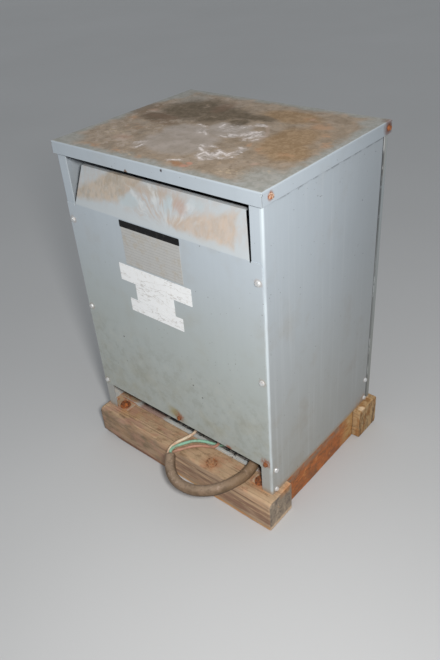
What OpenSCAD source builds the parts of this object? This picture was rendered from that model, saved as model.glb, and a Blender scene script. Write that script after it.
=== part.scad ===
// Ventilated dry-type distribution transformer in a sheet-steel cabinet, on a timber skid.
// X runs to the right along the front, Y to the back and Z up. The origin is on the floor,
// under the middle of the plan of the cabinet and its skid together.

/* [Cabinet] */
// Width of the cabinet over its side panels
cab_w = 508; // [490:2:560]
// Depth of the cabinet over its front and rear panels
cab_d = 402; // [390:2:460]
// Height of the cabinet from its lower edge to the top of the lid
cab_h = 674; // [640:2:740]
// Thickness of the cabinet's sheet steel
sheet_t = 1.9; // [1.5:0.1:2.4]
// Outside radius of a bend in the sheet
bend_r = 4; // [3:0.5:6]
// Width of the front post that each side panel is bent into
post_w = 27; // [24:1:34]
// Gap in the seam between a side panel and the rear panel
seam_w = 1.5; // [1:0.5:3]
// How far the rear panel wraps round onto each side
wrap_w = 15; // [12:1:22]

/* [Lid] */
// Depth of the skirt round the lid
skirt_h = 25; // [22:1:32]
// How far the lid stands out past the cabinet on every side
lid_over = 3.2; // [2.6:0.2:5]
// Outside radius of the lid's upper edges
lid_r = 3; // [2.6:0.2:5]
// Width of the open seam at each corner of the skirt
lid_seam = 0.6; // [0.6:0.2:1.4]
// Diameter of the relief hole at the top of each corner seam
relief_d = 4; // [3:0.5:6]

/* [Front and rear panels] */
// Clear height below the front and rear panels, where cables and air go in
open_h = 71; // [60:1:90]
// Bare strip of post left outside the edge of the front panel
panel_inset = 4; // [4:0.5:6]
// Depth of the return at the foot of a panel
hem_w = 14; // [10:1:20]
// Distance from the top of the lid down to the bend of the vent flap
vent_drop = 127; // [115:1:150]
// Height of the vent flap above its bend
flap_h = 79; // [60:1:85]
// How far the top edge of the vent flap lies behind its bend
flap_back = 20; // [12:1:30]
// How much each end of the flap is cut back at its top edge
flap_taper = 18.5; // [10:0.5:26]
// Width of the relief slit at each end of the flap's bend
slit_w = 3.5; // [2.5:0.5:5]
// Depth of the lip at the top edge of the flap
lip_w = 9; // [6:1:12]
// Height of the folded bar behind the foot of a panel
crossbar_h = 26; // [22:1:36]
// Depth of the folded bar behind the foot of a panel
crossbar_d = 16; // [12:1:24]

/* [Sheet-metal screws] */
// Diameter of the washer face under a screw's head
screw_washer = 11; // [10:0.5:13]
// Width across the flats of a screw's head
screw_hex = 8; // [7:0.5:9]
// Height of a screw's head above its washer face
screw_head_h = 3; // [2:0.5:3.5]
// Diameter of a screw's shank
screw_d = 4.8; // [4:0.2:5.4]
// Length of a screw's shank
screw_l = 12; // [10:1:14]
// Distance from the lower edge of the front panel up to its lowest screws
screw_low = 13; // [10:1:20]
// Distance from the bend of the flap down to the front panel's top screws
screw_high = 37; // [25:1:60]
// Distance from the cabinet's front to the side panel's lower front screws
front_screw_in = 15; // [14:1:24]
// Distance from the cabinet's back to the side panel's lower rear screws
rear_screw_in = 27; // [27:1:36]
// Height of the upper one of the side panel's lower screws
side_screw_z = 64; // [50:1:66]
// Height of the lowest screws of the side panel
foot_screw_z = 9; // [9:0.5:12]
// Distance from the lid's front to the front screws in its skirt
lid_screw_front = 22; // [14:1:30]
// Distance from the lid's back to the rear screws in its skirt
lid_screw_rear = 12; // [11:1:13]

/* [Timber skid] */
// Height of the timbers
timber_h = 80; // [70:1:100]
// Width of the front and rear timbers
timber_w = 80; // [70:1:100]
// Width of the timber under each side
side_timber_w = 40; // [36:1:60]
// Radius of the timbers' worn edges
timber_r = 5; // [3:0.5:8]
// How far the front timber stands out in front of the cabinet
front_over = 26; // [20:1:40]
// How far the rear timber stands out behind the cabinet
rear_over = 6; // [6:0.5:12]
// How far the timbers run past the left side of the cabinet
left_over = 8; // [8:0.5:20]
// How far the rear timber runs past the right side of the cabinet
right_over = 18; // [16:1:40]
// How far the front timber stays short of the rear timber's right end
right_step = 6; // [0:1:8]
// Diameter of a lag bolt's washer
lag_washer = 26; // [24:1:30]
// Thickness of a lag bolt's washer
lag_washer_t = 2.5; // [2:0.5:4]
// Width across the flats of a lag bolt's head
lag_hex = 15; // [13:1:17]
// Height of a lag bolt's head
lag_head_h = 7; // [5:0.5:9]
// Diameter of a lag bolt's shank
lag_d = 9.5; // [8:0.5:10]
// Length of a lag bolt below its washer
lag_l = 65; // [50:1:68]
// Distance from the cabinet's side to the lag bolts
lag_in_x = 42; // [38:1:46]
// Distance from the cabinet's front or back to the lag bolts
lag_in_y = 16; // [15:1:18]
// How far right of the cabinet's middle the odd lag bolt lies
odd_lag_x = 90; // [40:1:110]

/* [Base] */
// Height of the upright leg of a base angle
angle_h = 75; // [72:1:84]
// Width of the flat leg of a base angle
angle_w = 58; // [56:1:70]
// Thickness of the base angles and the base pan
base_t = 3; // [2.5:0.5:4]
// Gap between the edge of the base pan and the washers of the lag bolts
pan_gap = 4; // [3:0.5:12]
// Height of the lip along the front and back of the base pan
pan_lip = 6; // [5:0.5:7]
// Length of an air slot in the base pan
slot_l = 80; // [50:5:90]
// Width of an air slot in the base pan
slot_w = 16; // [12:1:20]
// Distance from one air slot to the next
slot_pitch = 60; // [40:2:66]
// Number of air slots along the base pan
slot_n = 7; // [3:2:7]

/* [Core and windings] */
// Distance between the middles of neighbouring core legs
leg_pitch = 138; // [134:2:146]
// Width of the core legs and yokes
leg_w = 64; // [56:2:70]
// Height of the windows of the core
window_h = 200; // [160:5:260]
// Depth of the core's stack of laminations
stack_d = 90; // [70:2:100]
// Thickness of each winding round its leg
coil_t = 32; // [24:1:32]
// Gap between a winding and its core leg
coil_fit = 1; // [0.5:0.5:2]
// Height of the insulating blocks above and below the windings
block_h = 6; // [4:1:12]
// Width of an air duct through a winding
duct_w = 14; // [8:1:16]
// Depth of an air duct through a winding
duct_t = 7; // [5:1:9]
// Height of the upright leg of a core clamp
clamp_h = 60; // [50:1:64]
// Width of the flat leg of a core clamp
clamp_w = 40; // [36:1:44]
// Thickness of a core clamp
clamp_t = 4; // [3:0.5:5]
// Diameter of the bolts through the yokes
tie_d = 9.5; // [8:0.5:12]
// Width across the flats of a yoke bolt's head
tie_hex = 16; // [14:1:20]
// Height of a yoke bolt's head
tie_head_h = 7; // [5:0.5:9]
// How far the core's underside lies above that of its clamps
core_lift = 2; // [0:1:6]
// Height of the rubber pads under the core clamps
pad_h = 18; // [12:1:30]
// Side of a rubber pad
pad_w = 36; // [30:1:40]
// Height of the middle of the terminal board above the cabinet's lower edge
board_z = 120; // [110:1:150]
// Height of the terminal board
board_h = 60; // [50:1:70]
// Width of the terminal board
board_w = 360; // [340:2:380]
// Thickness of the terminal board
board_t = 8; // [6:1:12]
// Distance from the front of the windings to the terminal board
board_gap = 30; // [26:1:36]
// Width of a bracket behind the terminal board
bracket_w = 26; // [20:1:40]
// Depth of a bracket's foot on the base pan
bracket_foot = 20; // [14:1:24]
// Distance between neighbouring lugs on the terminal board
lug_pitch = 80; // [60:2:100]
// Width of a lug
lug_w = 22; // [16:1:30]
// How far a lug stands out from the terminal board
lug_d = 26; // [20:1:30]
// Height of a lug
lug_h = 32; // [24:1:40]
// Gap round a conductor in a lug's hole
lug_fit = 0.3; // [0.2:0.05:0.6]
// Width of a flat lead from a winding
lead_w = 16; // [10:1:24]
// Thickness of a flat lead from a winding
lead_t = 3; // [2:0.5:5]

/* [Front cable] */
// Diameter of the cable's jacket
cable_d = 24; // [18:1:26]
// Diameter of an insulated conductor
wire_d = 7; // [5:0.5:7.5]

/* [Hidden] */

round_fn = 48;
small_fn = 24;
eps = 0.01;
hole_clear = 0.3;

// Middle and lower edge of the cabinet in the part's own frame
cab_x = (left_over - right_over) / 2;
cab_y = (front_over - rear_over) / 2;
cab_z = timber_h;

// Planes of the cabinet, measured from its own middle
side_x = cab_w / 2;
face_y = cab_d / 2;
post_y = face_y - sheet_t;
lid_under = cab_h - sheet_t;
bend_z = cab_h - vent_drop;
skirt_z = cab_h - skirt_h;
flap_top_z = bend_z + flap_h;
post_x = side_x - post_w;
seam_y = face_y - wrap_w - seam_w;
joggle_l = 4;
panel_x = side_x - panel_inset;
screw_x = side_x - post_w / 2;
screw_rows = [open_h + screw_low, (open_h + screw_low + bend_z - screw_high) / 2, bend_z - screw_high];
side_screw_y = [front_screw_in - face_y, face_y - rear_screw_in];
lid_screw_y = [lid_screw_front - face_y - lid_over, face_y + lid_over - lid_screw_rear];
lid_screw_z = cab_h - skirt_h / 2;

// Core and what it stands on
pan_z = base_t;
pan_top = pan_z + base_t;
pan_x = side_x - sheet_t - base_t;
pan_y = face_y - lag_in_y - lag_washer / 2 - pan_gap;
clamp_z = pan_top + pad_h;
core_z = clamp_z + core_lift;
core_w = 2 * leg_pitch + leg_w;
core_h = window_h + 2 * leg_w;
core_top = core_z + core_h;
window_w = leg_pitch - leg_w;
coil_x = leg_w / 2 + coil_fit + coil_t;
coil_y = stack_d / 2 + coil_fit + coil_t;
coil_z = core_z + leg_w + block_h;
coil_h = window_h - 2 * block_h;
clamp_y = stack_d / 2;
foot_y = clamp_y + clamp_t + (clamp_w - clamp_t) / 2;
tie_x = leg_pitch / 2;
pad_x = leg_pitch;
board_y = coil_y + board_gap;
lug_bore = wire_d + 2 * lug_fit;

// Route of the cable's jacket, from behind the panel round the loop, from the cabinet's middle
jacket_route = [
    [173, -129, 68], [176, -137.5, 57], [179.5, -147.5, 46], [182.5, -159, 35.5], [184, -173, 26],
    [183, -189, 18.5], [179.5, -206, 14], [173, -227, 12.3], [163, -251, 11.5], [146, -273, 9.5],
    [119, -289, 6], [86, -295, 3.5], [56, -290.5, 4], [30, -275, 7], [8, -251, 13]
];
white_route = [
    [4.25, -254, 11.25], [-1.25, -248, 12.75], [-4.5, -239, 15.5], [-5.5, -228, 17.5], [-3, -213, 18.5],
    [2, -199, 19], [7, -185, 20], [10.5, -172, 22], [12, -160, 31], [6, -148, 48], [-10, -138, 70],
    [-30, -131, 87], [-40, -129, 98], [-40, -129, 116]
];
green_route = [
    [9.5, -251, 18.5], [5.1, -246.2, 19.7], [3, -240, 20.3], [3, -232, 20.3], [5, -223.5, 19.6],
    [8.5, -214, 18.3], [14, -200.5, 16.5], [23, -186.5, 15], [38, -175.5, 14.2], [50, -170.3, 13.9],
    [63, -166, 13.8], [75, -162, 14], [85, -158.3, 15.6], [91.5, -155, 17.9],
    [95.8, -150.8, 20], [97, -147, 21], [97, -143, 21]
];
red_route = [
    [10.25, -248.25, 10.25], [5.85, -243.45, 11.45], [5, -237.5, 11.8], [7.5, -230, 11.4],
    [12.5, -221, 10.5], [18.5, -209.5, 9.5], [26, -198, 8.8], [35, -188.5, 8.2], [44, -181.5, 8],
    [53, -177, 8.4], [62, -174.5, 9.6], [70, -172.5, 12.7], [76.5, -169, 18], [80, -163, 26], [78, -155.5, 37],
    [70, -146, 52], [56, -136.5, 71], [44.5, -130.5, 87], [40, -129, 98], [40, -129, 116]
];
black_route = [
    [173, -129, 68], [171.2, -123.9, 74.6], [167, -121.5, 80], [158, -121.5, 83], [147, -123.5, 84.5],
    [135, -126.5, 86], [126, -128.5, 90.5], [120, -129, 98], [120, -129, 116]
];

// Shared shapes

// Puts its children in the part's frame from the cabinet's own
module in_cabinet() translate([cab_x, cab_y, cab_z]) children();

// Quarter ring of sheet about a bend's centre, in the quadrant given by two signs
module bend(centre, quadrant) {
    translate(centre) intersection() {
        difference() {
            circle(r = bend_r, $fn = round_fn);
            circle(r = bend_r - sheet_t, $fn = round_fn);
        }
        scale_to_quadrant(quadrant);
    }
}

module scale_to_quadrant(quadrant) {
    reach = bend_r + 1;
    translate([quadrant[0] < 0 ? -reach : 0, quadrant[1] < 0 ? -reach : 0]) square(reach);
}

// Rectangle from one corner to the opposite one
module rect(lo, hi) translate(lo) square([hi[0] - lo[0], hi[1] - lo[1]]);

// Block from its lowest corner to its highest
module block(lo, hi) translate(lo) cube(hi - lo);

// Rectangle with round corners, about the origin
module round_rect(w, d, r) {
    square([w - 2 * r, d], center = true);
    square([w, d - 2 * r], center = true);
    for (sx = [-1, 1], sy = [-1, 1])
        translate([sx * (w / 2 - r), sy * (d / 2 - r)]) circle(r = r, $fn = round_fn);
}

// Profile drawn in the YZ plane and pulled along X from -half to half
module pull_x(half) translate([-half, 0, 0]) rotate([90, 0, 90]) linear_extrude(2 * half) children();

// Outline drawn in the XZ plane and pulled along Y from one place to another
module pull_y(y0, y1) translate([0, y1, 0]) rotate([90, 0, 0]) linear_extrude(y1 - y0) children();

// Self-tapping screw with a hexagon washer head. It points along -Z, with its washer face at zero.
module sheet_screw() {
    washer_t = 1.2;
    cylinder(d = screw_washer, h = washer_t, $fn = round_fn);
    translate([0, 0, washer_t]) cylinder(d = screw_hex / cos(30), h = screw_head_h, $fn = 6);
    translate([0, 0, -screw_l]) cylinder(d = screw_d, h = screw_l, $fn = small_fn);
}

module screw_hole() cylinder(d = screw_d + hole_clear, h = 4 * screw_l, center = true, $fn = small_fn);

// Turns a screw so that its head faces the front, the back or one side
module facing_front() rotate([90, 0, 0]) children();
module facing_back() rotate([-90, 0, 0]) children();
module facing_side(side) rotate([0, side * 90, 0]) children();

// Places of the screws that hold a panel to its posts, and of the one in its crossbar
module at_panel_screws() {
    for (side = [-1, 1], z = screw_rows) translate([side * screw_x, 0, z]) children();
    translate([0, 0, screw_rows[0]]) children();
}

module at_side_screws() {
    for (y = side_screw_y, z = [foot_screw_z, side_screw_z]) translate([0, y, z]) children();
}

module at_lid_screws() {
    for (y = lid_screw_y) translate([0, y, lid_screw_z]) children();
}

// Lag bolt with its washer, standing on the plane z = 0
module lag_bolt() {
    cylinder(d = lag_washer, h = lag_washer_t, $fn = round_fn);
    translate([0, 0, lag_washer_t]) cylinder(d = lag_hex / cos(30), h = lag_head_h, $fn = 6);
    translate([0, 0, -lag_l]) cylinder(d = lag_d, h = lag_l, $fn = small_fn);
}

module lag_hole() {
    reach = lag_l + 1;
    cylinder(d = lag_d + hole_clear, h = 2 * reach, center = true, $fn = small_fn);
}

// Places of the lag bolts, on the base angles and on the bare front timber
module at_angle_lags() {
    for (side = [-1, 1], end = [-1, 1])
        translate([side * (side_x - lag_in_x), end * (face_y - lag_in_y), base_t]) children();
}

module at_odd_lag() translate([odd_lag_x, -face_y - 4, 0]) children();

// Skid

module timber(size) {
    translate([0, 0, size[2] / 2]) rotate([90, 0, 90])
        linear_extrude(size[0], center = true) round_rect(size[1], size[2], timber_r);
}

module skid_timber_front() {
    length = cab_w + left_over + right_over - right_step;
    middle_y = -face_y - front_over + timber_w / 2;
    color("sienna") in_cabinet() difference() {
        translate([(right_over - right_step - left_over) / 2, middle_y, -timber_h])
            timber([length, timber_w, timber_h]);
        at_angle_lags() lag_hole();
        at_odd_lag() lag_hole();
        // Broken lower corner at the left end
        translate([-side_x - left_over, -face_y - front_over, -timber_h])
            rotate([0, 0, 45]) rotate([0, 35, 0]) cube([26, 60, 40], center = true);
    }
}

module skid_timber_rear() {
    length = cab_w + left_over + right_over;
    middle_y = face_y + rear_over - timber_w / 2;
    color("sienna") in_cabinet() difference() {
        translate([(right_over - left_over) / 2, middle_y, -timber_h]) timber([length, timber_w, timber_h]);
        at_angle_lags() lag_hole();
    }
}

module skid_side(side) {
    y0 = -face_y - front_over + timber_w;
    y1 = face_y + rear_over - timber_w;
    color("chocolate") in_cabinet()
        translate([side * (side_x - side_timber_w / 2), (y0 + y1) / 2, -timber_h])
            rotate([0, 0, 90]) timber([y1 - y0, side_timber_w, timber_h]);
}

module skid_timber_left() skid_side(-1);
module skid_timber_right() skid_side(1);

module lag_bolts() {
    color("firebrick") in_cabinet() {
        at_angle_lags() lag_bolt();
        at_odd_lag() lag_bolt();
    }
}

// Base

module base_angle(side) {
    x1 = side_x - sheet_t;
    y0 = bend_r - post_y;
    y1 = seam_y - joggle_l;
    color("slategray") in_cabinet() mirror([side < 0 ? 1 : 0, 0, 0]) difference() {
        union() {
            block([x1 - base_t, y0, 0], [x1, y1, angle_h]);
            block([x1 - angle_w, y0, 0], [x1 - base_t, post_y - bend_r, base_t]);
        }
        at_side_screws() translate([x1, 0, 0]) facing_side(1) screw_hole();
        for (end = [-1, 1])
            translate([side_x - lag_in_x, end * (face_y - lag_in_y), 0]) lag_hole();
    }
}

module base_angle_left() base_angle(-1);
module base_angle_right() base_angle(1);

module base_pan() {
    color("lightslategray") in_cabinet() difference() {
        union() {
            block([-pan_x, -pan_y, pan_z], [pan_x, pan_y, pan_top]);
            for (end = [-1, 1])
                translate([0, end * (pan_y - base_t / 2), pan_z + pan_lip / 2])
                    cube([2 * pan_x, base_t, pan_lip], center = true);
        }
        for (i = [0:slot_n - 1]) translate([(i - (slot_n - 1) / 2) * slot_pitch, 0, pan_z - 1])
            linear_extrude(base_t + 2) round_rect(slot_w, slot_l, slot_w / 2 - eps);
    }
}

// Cabinet

module side_sheet() {
    x1 = side_x;
    x2 = side_x - sheet_t;
    x3 = x2 - sheet_t;
    rect([post_x, -post_y], [x1 - bend_r, -post_y + sheet_t]);
    bend([x1 - bend_r, -post_y + bend_r], [1, -1]);
    rect([x2, -post_y + bend_r], [x1, seam_y - joggle_l]);
    polygon([[x2, seam_y - joggle_l], [x1, seam_y - joggle_l], [x2, seam_y], [x3, seam_y]]);
    rect([x3, seam_y], [x2, post_y - bend_r]);
    bend([x2 - bend_r, post_y - bend_r], [1, 1]);
    rect([post_x, post_y - sheet_t], [x2 - bend_r, post_y]);
}

module side_panel(side) {
    color("lightsteelblue") in_cabinet() mirror([side < 0 ? 1 : 0, 0, 0]) difference() {
        linear_extrude(lid_under) side_sheet();
        at_side_screws() translate([side_x, 0, 0]) facing_side(1) screw_hole();
        at_lid_screws() translate([side_x, 0, 0]) facing_side(1) screw_hole();
        for (z = screw_rows, end = [-1, 1])
            translate([screw_x, end * post_y, z]) facing_front() screw_hole();
    }
}

module side_panel_left() side_panel(-1);
module side_panel_right() side_panel(1);

// Outline of the vent flap, seen from the front
module flap_outline() {
    low = post_x - slit_w;
    high = low - flap_taper;
    polygon([[-low, bend_z], [low, bend_z], [high, flap_top_z], [-high, flap_top_z]]);
}

// Vent flap of a front panel: a sheet that leans back, with a lip along its top edge
module vent_flap() {
    y0 = -face_y;
    y1 = y0 + flap_back;
    intersection() {
        pull_x(post_x) union() {
            polygon([[y0, bend_z], [y0 + sheet_t, bend_z], [y1 + sheet_t, flap_top_z], [y1, flap_top_z]]);
            rect([y1, flap_top_z - sheet_t], [y1 + lip_w, flap_top_z]);
        }
        pull_y(y0 - 1, y1 + lip_w + 1) flap_outline();
    }
}

// Return at the foot of a front panel, between the posts
module foot_hem() {
    y0 = -face_y;
    pull_x(post_x - 1) union() {
        bend([y0 + bend_r, open_h + bend_r], [-1, -1]);
        rect([y0 + bend_r, open_h], [y0 + hem_w, open_h + sheet_t]);
    }
}

module front_panel() {
    color("lightsteelblue") in_cabinet() difference() {
        union() {
            pull_y(-face_y, -face_y + sheet_t) difference() {
                rect([-panel_x, open_h], [panel_x, bend_z]);
                rect([-post_x + 1, open_h - 1], [post_x - 1, open_h + bend_r]);
                for (side = [-1, 1]) translate([side * (post_x - slit_w / 2), bend_z])
                    square([slit_w, 2 * slit_w], center = true);
            }
            foot_hem();
            vent_flap();
        }
        at_panel_screws() translate([0, -face_y, 0]) facing_front() screw_hole();
    }
}

// Plan of the rear panel: a flat back that wraps round onto both sides
module rear_sheet() {
    rect([-side_x + bend_r, post_y], [side_x - bend_r, face_y]);
    for (side = [0, 1]) mirror([side, 0]) {
        bend([side_x - bend_r, face_y - bend_r], [1, 1]);
        rect([side_x - sheet_t, face_y - wrap_w], [side_x, face_y - bend_r]);
    }
}

module rear_panel() {
    opening = post_x;
    strip_lap = 4;
    color("lightsteelblue") in_cabinet() difference() {
        union() {
            difference() {
                linear_extrude(lid_under) rear_sheet();
                pull_y(post_y - 1, face_y + 1) {
                    rect([-opening, -1], [opening, open_h + bend_r]);
                    rect([-opening, bend_z], [opening, skirt_z + strip_lap]);
                }
            }
            mirror([0, 1, 0]) foot_hem();
            mirror([0, 1, 0]) vent_flap();
        }
        at_panel_screws() translate([0, face_y, 0]) facing_back() screw_hole();
        for (side = [-1, 1]) at_lid_screws() translate([side * side_x, 0, 0]) facing_side(side) screw_hole();
    }
}

// Rounded top of the lid's profile, from one side of the cabinet to the other
module lid_profile(half, top, r) {
    rect([-half, skirt_z - 1], [half, top - r]);
    rect([-half + r, top - r - eps], [half - r, top]);
    for (side = [-1, 1]) translate([side * (half - r), top - r]) circle(r = r, $fn = round_fn);
}

module lid_block(shrink) {
    half_x = side_x + lid_over - shrink;
    half_y = face_y + lid_over - shrink;
    r = max(lid_r - shrink, 0.5);
    intersection() {
        pull_x(half_x) lid_profile(half_y, cab_h - shrink, r);
        pull_y(-half_y, half_y) lid_profile(half_x, cab_h - shrink, r);
    }
}

module lid() {
    corner = [side_x + lid_over, face_y + lid_over];
    relief_z = cab_h - lid_r - relief_d / 2;
    color("lightsteelblue") in_cabinet() difference() {
        lid_block(0);
        lid_block(sheet_t);
        block([-cab_w, -cab_d, skirt_z - 2], [cab_w, cab_d, skirt_z]);
        for (sx = [-1, 1], sy = [-1, 1])
            translate([sx * corner[0], sy * corner[1], relief_z]) rotate([0, 0, sx * sy * 45]) {
                rotate([0, 90, 0]) cylinder(d = relief_d, h = 8 * sheet_t, center = true, $fn = small_fn);
                translate([0, 0, -skirt_h / 2]) cube([8 * sheet_t, lid_seam, skirt_h], center = true);
            }
        for (side = [-1, 1]) at_lid_screws() translate([side * side_x, 0, 0]) facing_side(side) screw_hole();
    }
}

// Folded bar between the posts, behind the foot of a panel
module panel_crossbar(y0, facing) {
    z0 = open_h + bend_r;
    half = screw_x - screw_washer;
    translate([0, y0, 0]) mirror([0, facing < 0 ? 1 : 0, 0]) difference() {
        pull_x(half) union() {
            rect([0, z0], [sheet_t, z0 + crossbar_h]);
            rect([0, z0 + crossbar_h - sheet_t], [crossbar_d, z0 + crossbar_h]);
        }
        translate([0, 0, screw_rows[0]]) facing_front() screw_hole();
    }
}

module panel_crossbar_front() color("slategray") in_cabinet() panel_crossbar(-post_y + sheet_t, 1);
module panel_crossbar_rear() color("slategray") in_cabinet() panel_crossbar(post_y - sheet_t, -1);

module front_panel_screws() {
    color("silver") in_cabinet() at_panel_screws() translate([0, -face_y, 0]) facing_front() sheet_screw();
}

module rear_panel_screws() {
    color("silver") in_cabinet() at_panel_screws() translate([0, face_y, 0]) facing_back() sheet_screw();
}

module side_screws(side) {
    color("silver") in_cabinet() at_side_screws()
        translate([side * side_x, 0, 0]) facing_side(side) sheet_screw();
}

module side_screws_left() side_screws(-1);
module side_screws_right() side_screws(1);

module lid_screws() {
    color("peru") in_cabinet() for (side = [-1, 1])
        at_lid_screws() translate([side * (side_x + lid_over), 0, 0]) facing_side(side) sheet_screw();
}

// Core and windings

module at_ties() {
    for (side = [-1, 1], z = [core_z + leg_w / 2, core_top - leg_w / 2])
        translate([side * tie_x, 0, z]) children();
}

module tie_hole() {
    rotate([90, 0, 0]) cylinder(d = tie_d + hole_clear, h = 2 * stack_d, center = true, $fn = round_fn);
}

module core() {
    color("dimgray") in_cabinet() difference() {
        block([-core_w / 2, -stack_d / 2, core_z], [core_w / 2, stack_d / 2, core_top]);
        for (side = [-1, 1])
            translate([side * leg_pitch / 2, 0, core_z + core_h / 2])
                cube([window_w, 2 * stack_d, window_h], center = true);
        at_ties() tie_hole();
    }
}

// Winding with a ring of air ducts between its inner and its outer layer
module coil(place) {
    inner_x = leg_w / 2 + coil_fit;
    inner_y = stack_d / 2 + coil_fit;
    duct_y = inner_y + coil_t / 2;
    duct_n = 3;
    duct_pitch = duct_w + 6;
    color("darkgoldenrod") in_cabinet() translate([place * leg_pitch, 0, coil_z]) linear_extrude(coil_h)
        difference() {
            round_rect(2 * coil_x, 2 * coil_y, coil_t * 0.6);
            square([2 * inner_x, 2 * inner_y], center = true);
            for (i = [0:duct_n - 1], end = [-1, 1])
                translate([(i - (duct_n - 1) / 2) * duct_pitch, end * duct_y])
                    square([duct_w, duct_t], center = true);
        }
}

module coil_left() coil(-1);
module coil_middle() coil(0);
module coil_right() coil(1);

// Insulating blocks in the windows and on the clamps, above and below the windings
module coil_blocks() {
    inset = 4;
    clamp_block_w = 30;
    clamp_gap = coil_z - clamp_z - clamp_h;
    color("burlywood") in_cabinet() {
        for (side = [-1, 1], z = [core_z + leg_w, coil_z + coil_h])
            translate([side * leg_pitch / 2, 0, z + block_h / 2])
                cube([window_w - 2 * inset, stack_d - 2 * inset, block_h], center = true);
        for (place = [-1:1], end = [-1, 1], z = [coil_z - clamp_gap / 2, coil_z + coil_h + clamp_gap / 2])
            translate([place * leg_pitch, end * (clamp_y + clamp_t + coil_fit), z])
                cube([clamp_block_w, 2 * clamp_t, clamp_gap], center = true);
    }
}

// Angle along one face of a yoke, with its foot turned away from the core
module clamp_angle() {
    difference() {
        pull_x(core_w / 2) union() {
            rect([clamp_y, 0], [clamp_y + clamp_t, clamp_h]);
            rect([clamp_y + clamp_t, 0], [clamp_y + clamp_w, clamp_t]);
        }
        for (side = [-1, 1]) translate([side * tie_x, clamp_y, core_z - clamp_z + leg_w / 2]) tie_hole();
    }
}

module clamp(top, end) {
    color("darkgray") in_cabinet() translate([0, 0, top ? core_top + core_z - clamp_z : clamp_z])
        mirror([0, end < 0 ? 1 : 0, 0]) mirror([0, 0, top ? 1 : 0]) clamp_angle();
}

module clamp_bottom_front() clamp(false, -1);
module clamp_bottom_rear() clamp(false, 1);
module clamp_top_front() clamp(true, -1);
module clamp_top_rear() clamp(true, 1);

module tie_bolts() {
    reach = clamp_y + clamp_t;
    color("darkgray") in_cabinet() at_ties() rotate([90, 0, 0]) {
        cylinder(d = tie_d, h = 2 * reach, center = true, $fn = round_fn);
        for (end = [0, 1]) mirror([0, 0, end])
            translate([0, 0, reach]) cylinder(d = tie_hex / cos(30), h = tie_head_h, $fn = 6);
    }
}

module rubber_pads() {
    color("black") in_cabinet() for (side = [-1, 1], end = [-1, 1])
        translate([side * pad_x, end * foot_y, pan_top + pad_h / 2]) cube([pad_w, pad_w, pad_h], center = true);
}

// Terminals

module terminal_board() {
    half = [board_w / 2, board_t / 2, board_h / 2];
    color("saddlebrown") in_cabinet() translate([0, -board_y - board_t / 2, board_z]) block(-half, half);
}

module board_brackets() {
    half = bracket_w / 2;
    color("darkgray") in_cabinet() for (side = [-1, 1]) translate([side * (board_w / 2 - half), 0, 0]) {
        block([-half, -board_y, pan_top], [half, -board_y + base_t, board_z + board_h / 2]);
        block([-half, -board_y + base_t, pan_top], [half, -board_y + bracket_foot, pan_top + base_t]);
    }
}

module at_lugs() {
    for (i = [0:3]) translate([(i - 1.5) * lug_pitch, -board_y - board_t, board_z]) children();
}

module terminal_lugs() {
    color("silver") in_cabinet() at_lugs() difference() {
        translate([-lug_w / 2, -lug_d, -lug_h / 2]) cube([lug_w, lug_d, lug_h]);
        translate([0, -lug_d / 2, -lug_h]) cylinder(d = lug_bore, h = lug_h + lug_h / 3, $fn = round_fn);
    }
}

// Flat leads from the front of each winding to the terminal board
module winding_leads() {
    color("peru") in_cabinet() for (place = [-1:1])
        translate([place * leg_pitch - lead_w / 2, -board_y, board_z - lead_t / 2])
            cube([lead_w, board_gap, lead_t]);
}

// Block on the base pan, where the earthing conductor ends, with a hole for its screw
module ground_lug() {
    size = [18, 14, 22];
    screw_bore = 5;
    floor_t = 4;
    wire_end = green_route[len(green_route) - 1];
    corner = [wire_end[0] - size[0] / 2, wire_end[1], pan_top];
    color("darkkhaki") in_cabinet() translate(corner) difference() {
        cube(size);
        translate([size[0] / 2, size[1] / 2, floor_t]) cylinder(d = screw_bore, h = size[2], $fn = small_fn);
    }
}

// Cables

function unit(v) = v / norm(v);
function along(route, i) = unit(route[min(i + 1, len(route) - 1)] - route[max(i - 1, 0)]);
// Sideways direction at each point, carried along the route without twist
function carry(route, i, side) = unit(side - (side * along(route, i)) * along(route, i));
function sides(route, i = 0, side = [0.1, 0.2, 1]) =
    i == len(route) ? [] : let (next = carry(route, i, side)) concat([next], sides(route, i + 1, next));
function ring(centre, direction, side, r, n) =
    [for (k = [0:n - 1]) centre + r * (cos(360 * k / n) * side + sin(360 * k / n) * cross(direction, side))];

module tube(route, d, n) {
    side = sides(route);
    last = len(route) - 1;
    points = [for (i = [0:last]) each ring(route[i], along(route, i), side[i], d / 2, n)];
    walls = [for (i = [0:last - 1], k = [0:n - 1])
        [i * n + k, i * n + (k + 1) % n, (i + 1) * n + (k + 1) % n, (i + 1) * n + k]];
    ends = [[for (k = [n - 1:-1:0]) k], [for (k = [0:n - 1]) last * n + k]];
    polyhedron(points, concat(walls, ends), convexity = 6);
}

module cable_jacket() color("rosybrown") in_cabinet() tube(jacket_route, cable_d, 12);
module conductor_white() color("antiquewhite") in_cabinet() tube(white_route, wire_d, 8);
module conductor_green() color("mediumseagreen") in_cabinet() tube(green_route, wire_d, 8);
module conductor_red() color("indianred") in_cabinet() tube(red_route, wire_d, 8);
module conductor_black() color("black") in_cabinet() tube(black_route, wire_d, 8);

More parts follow.
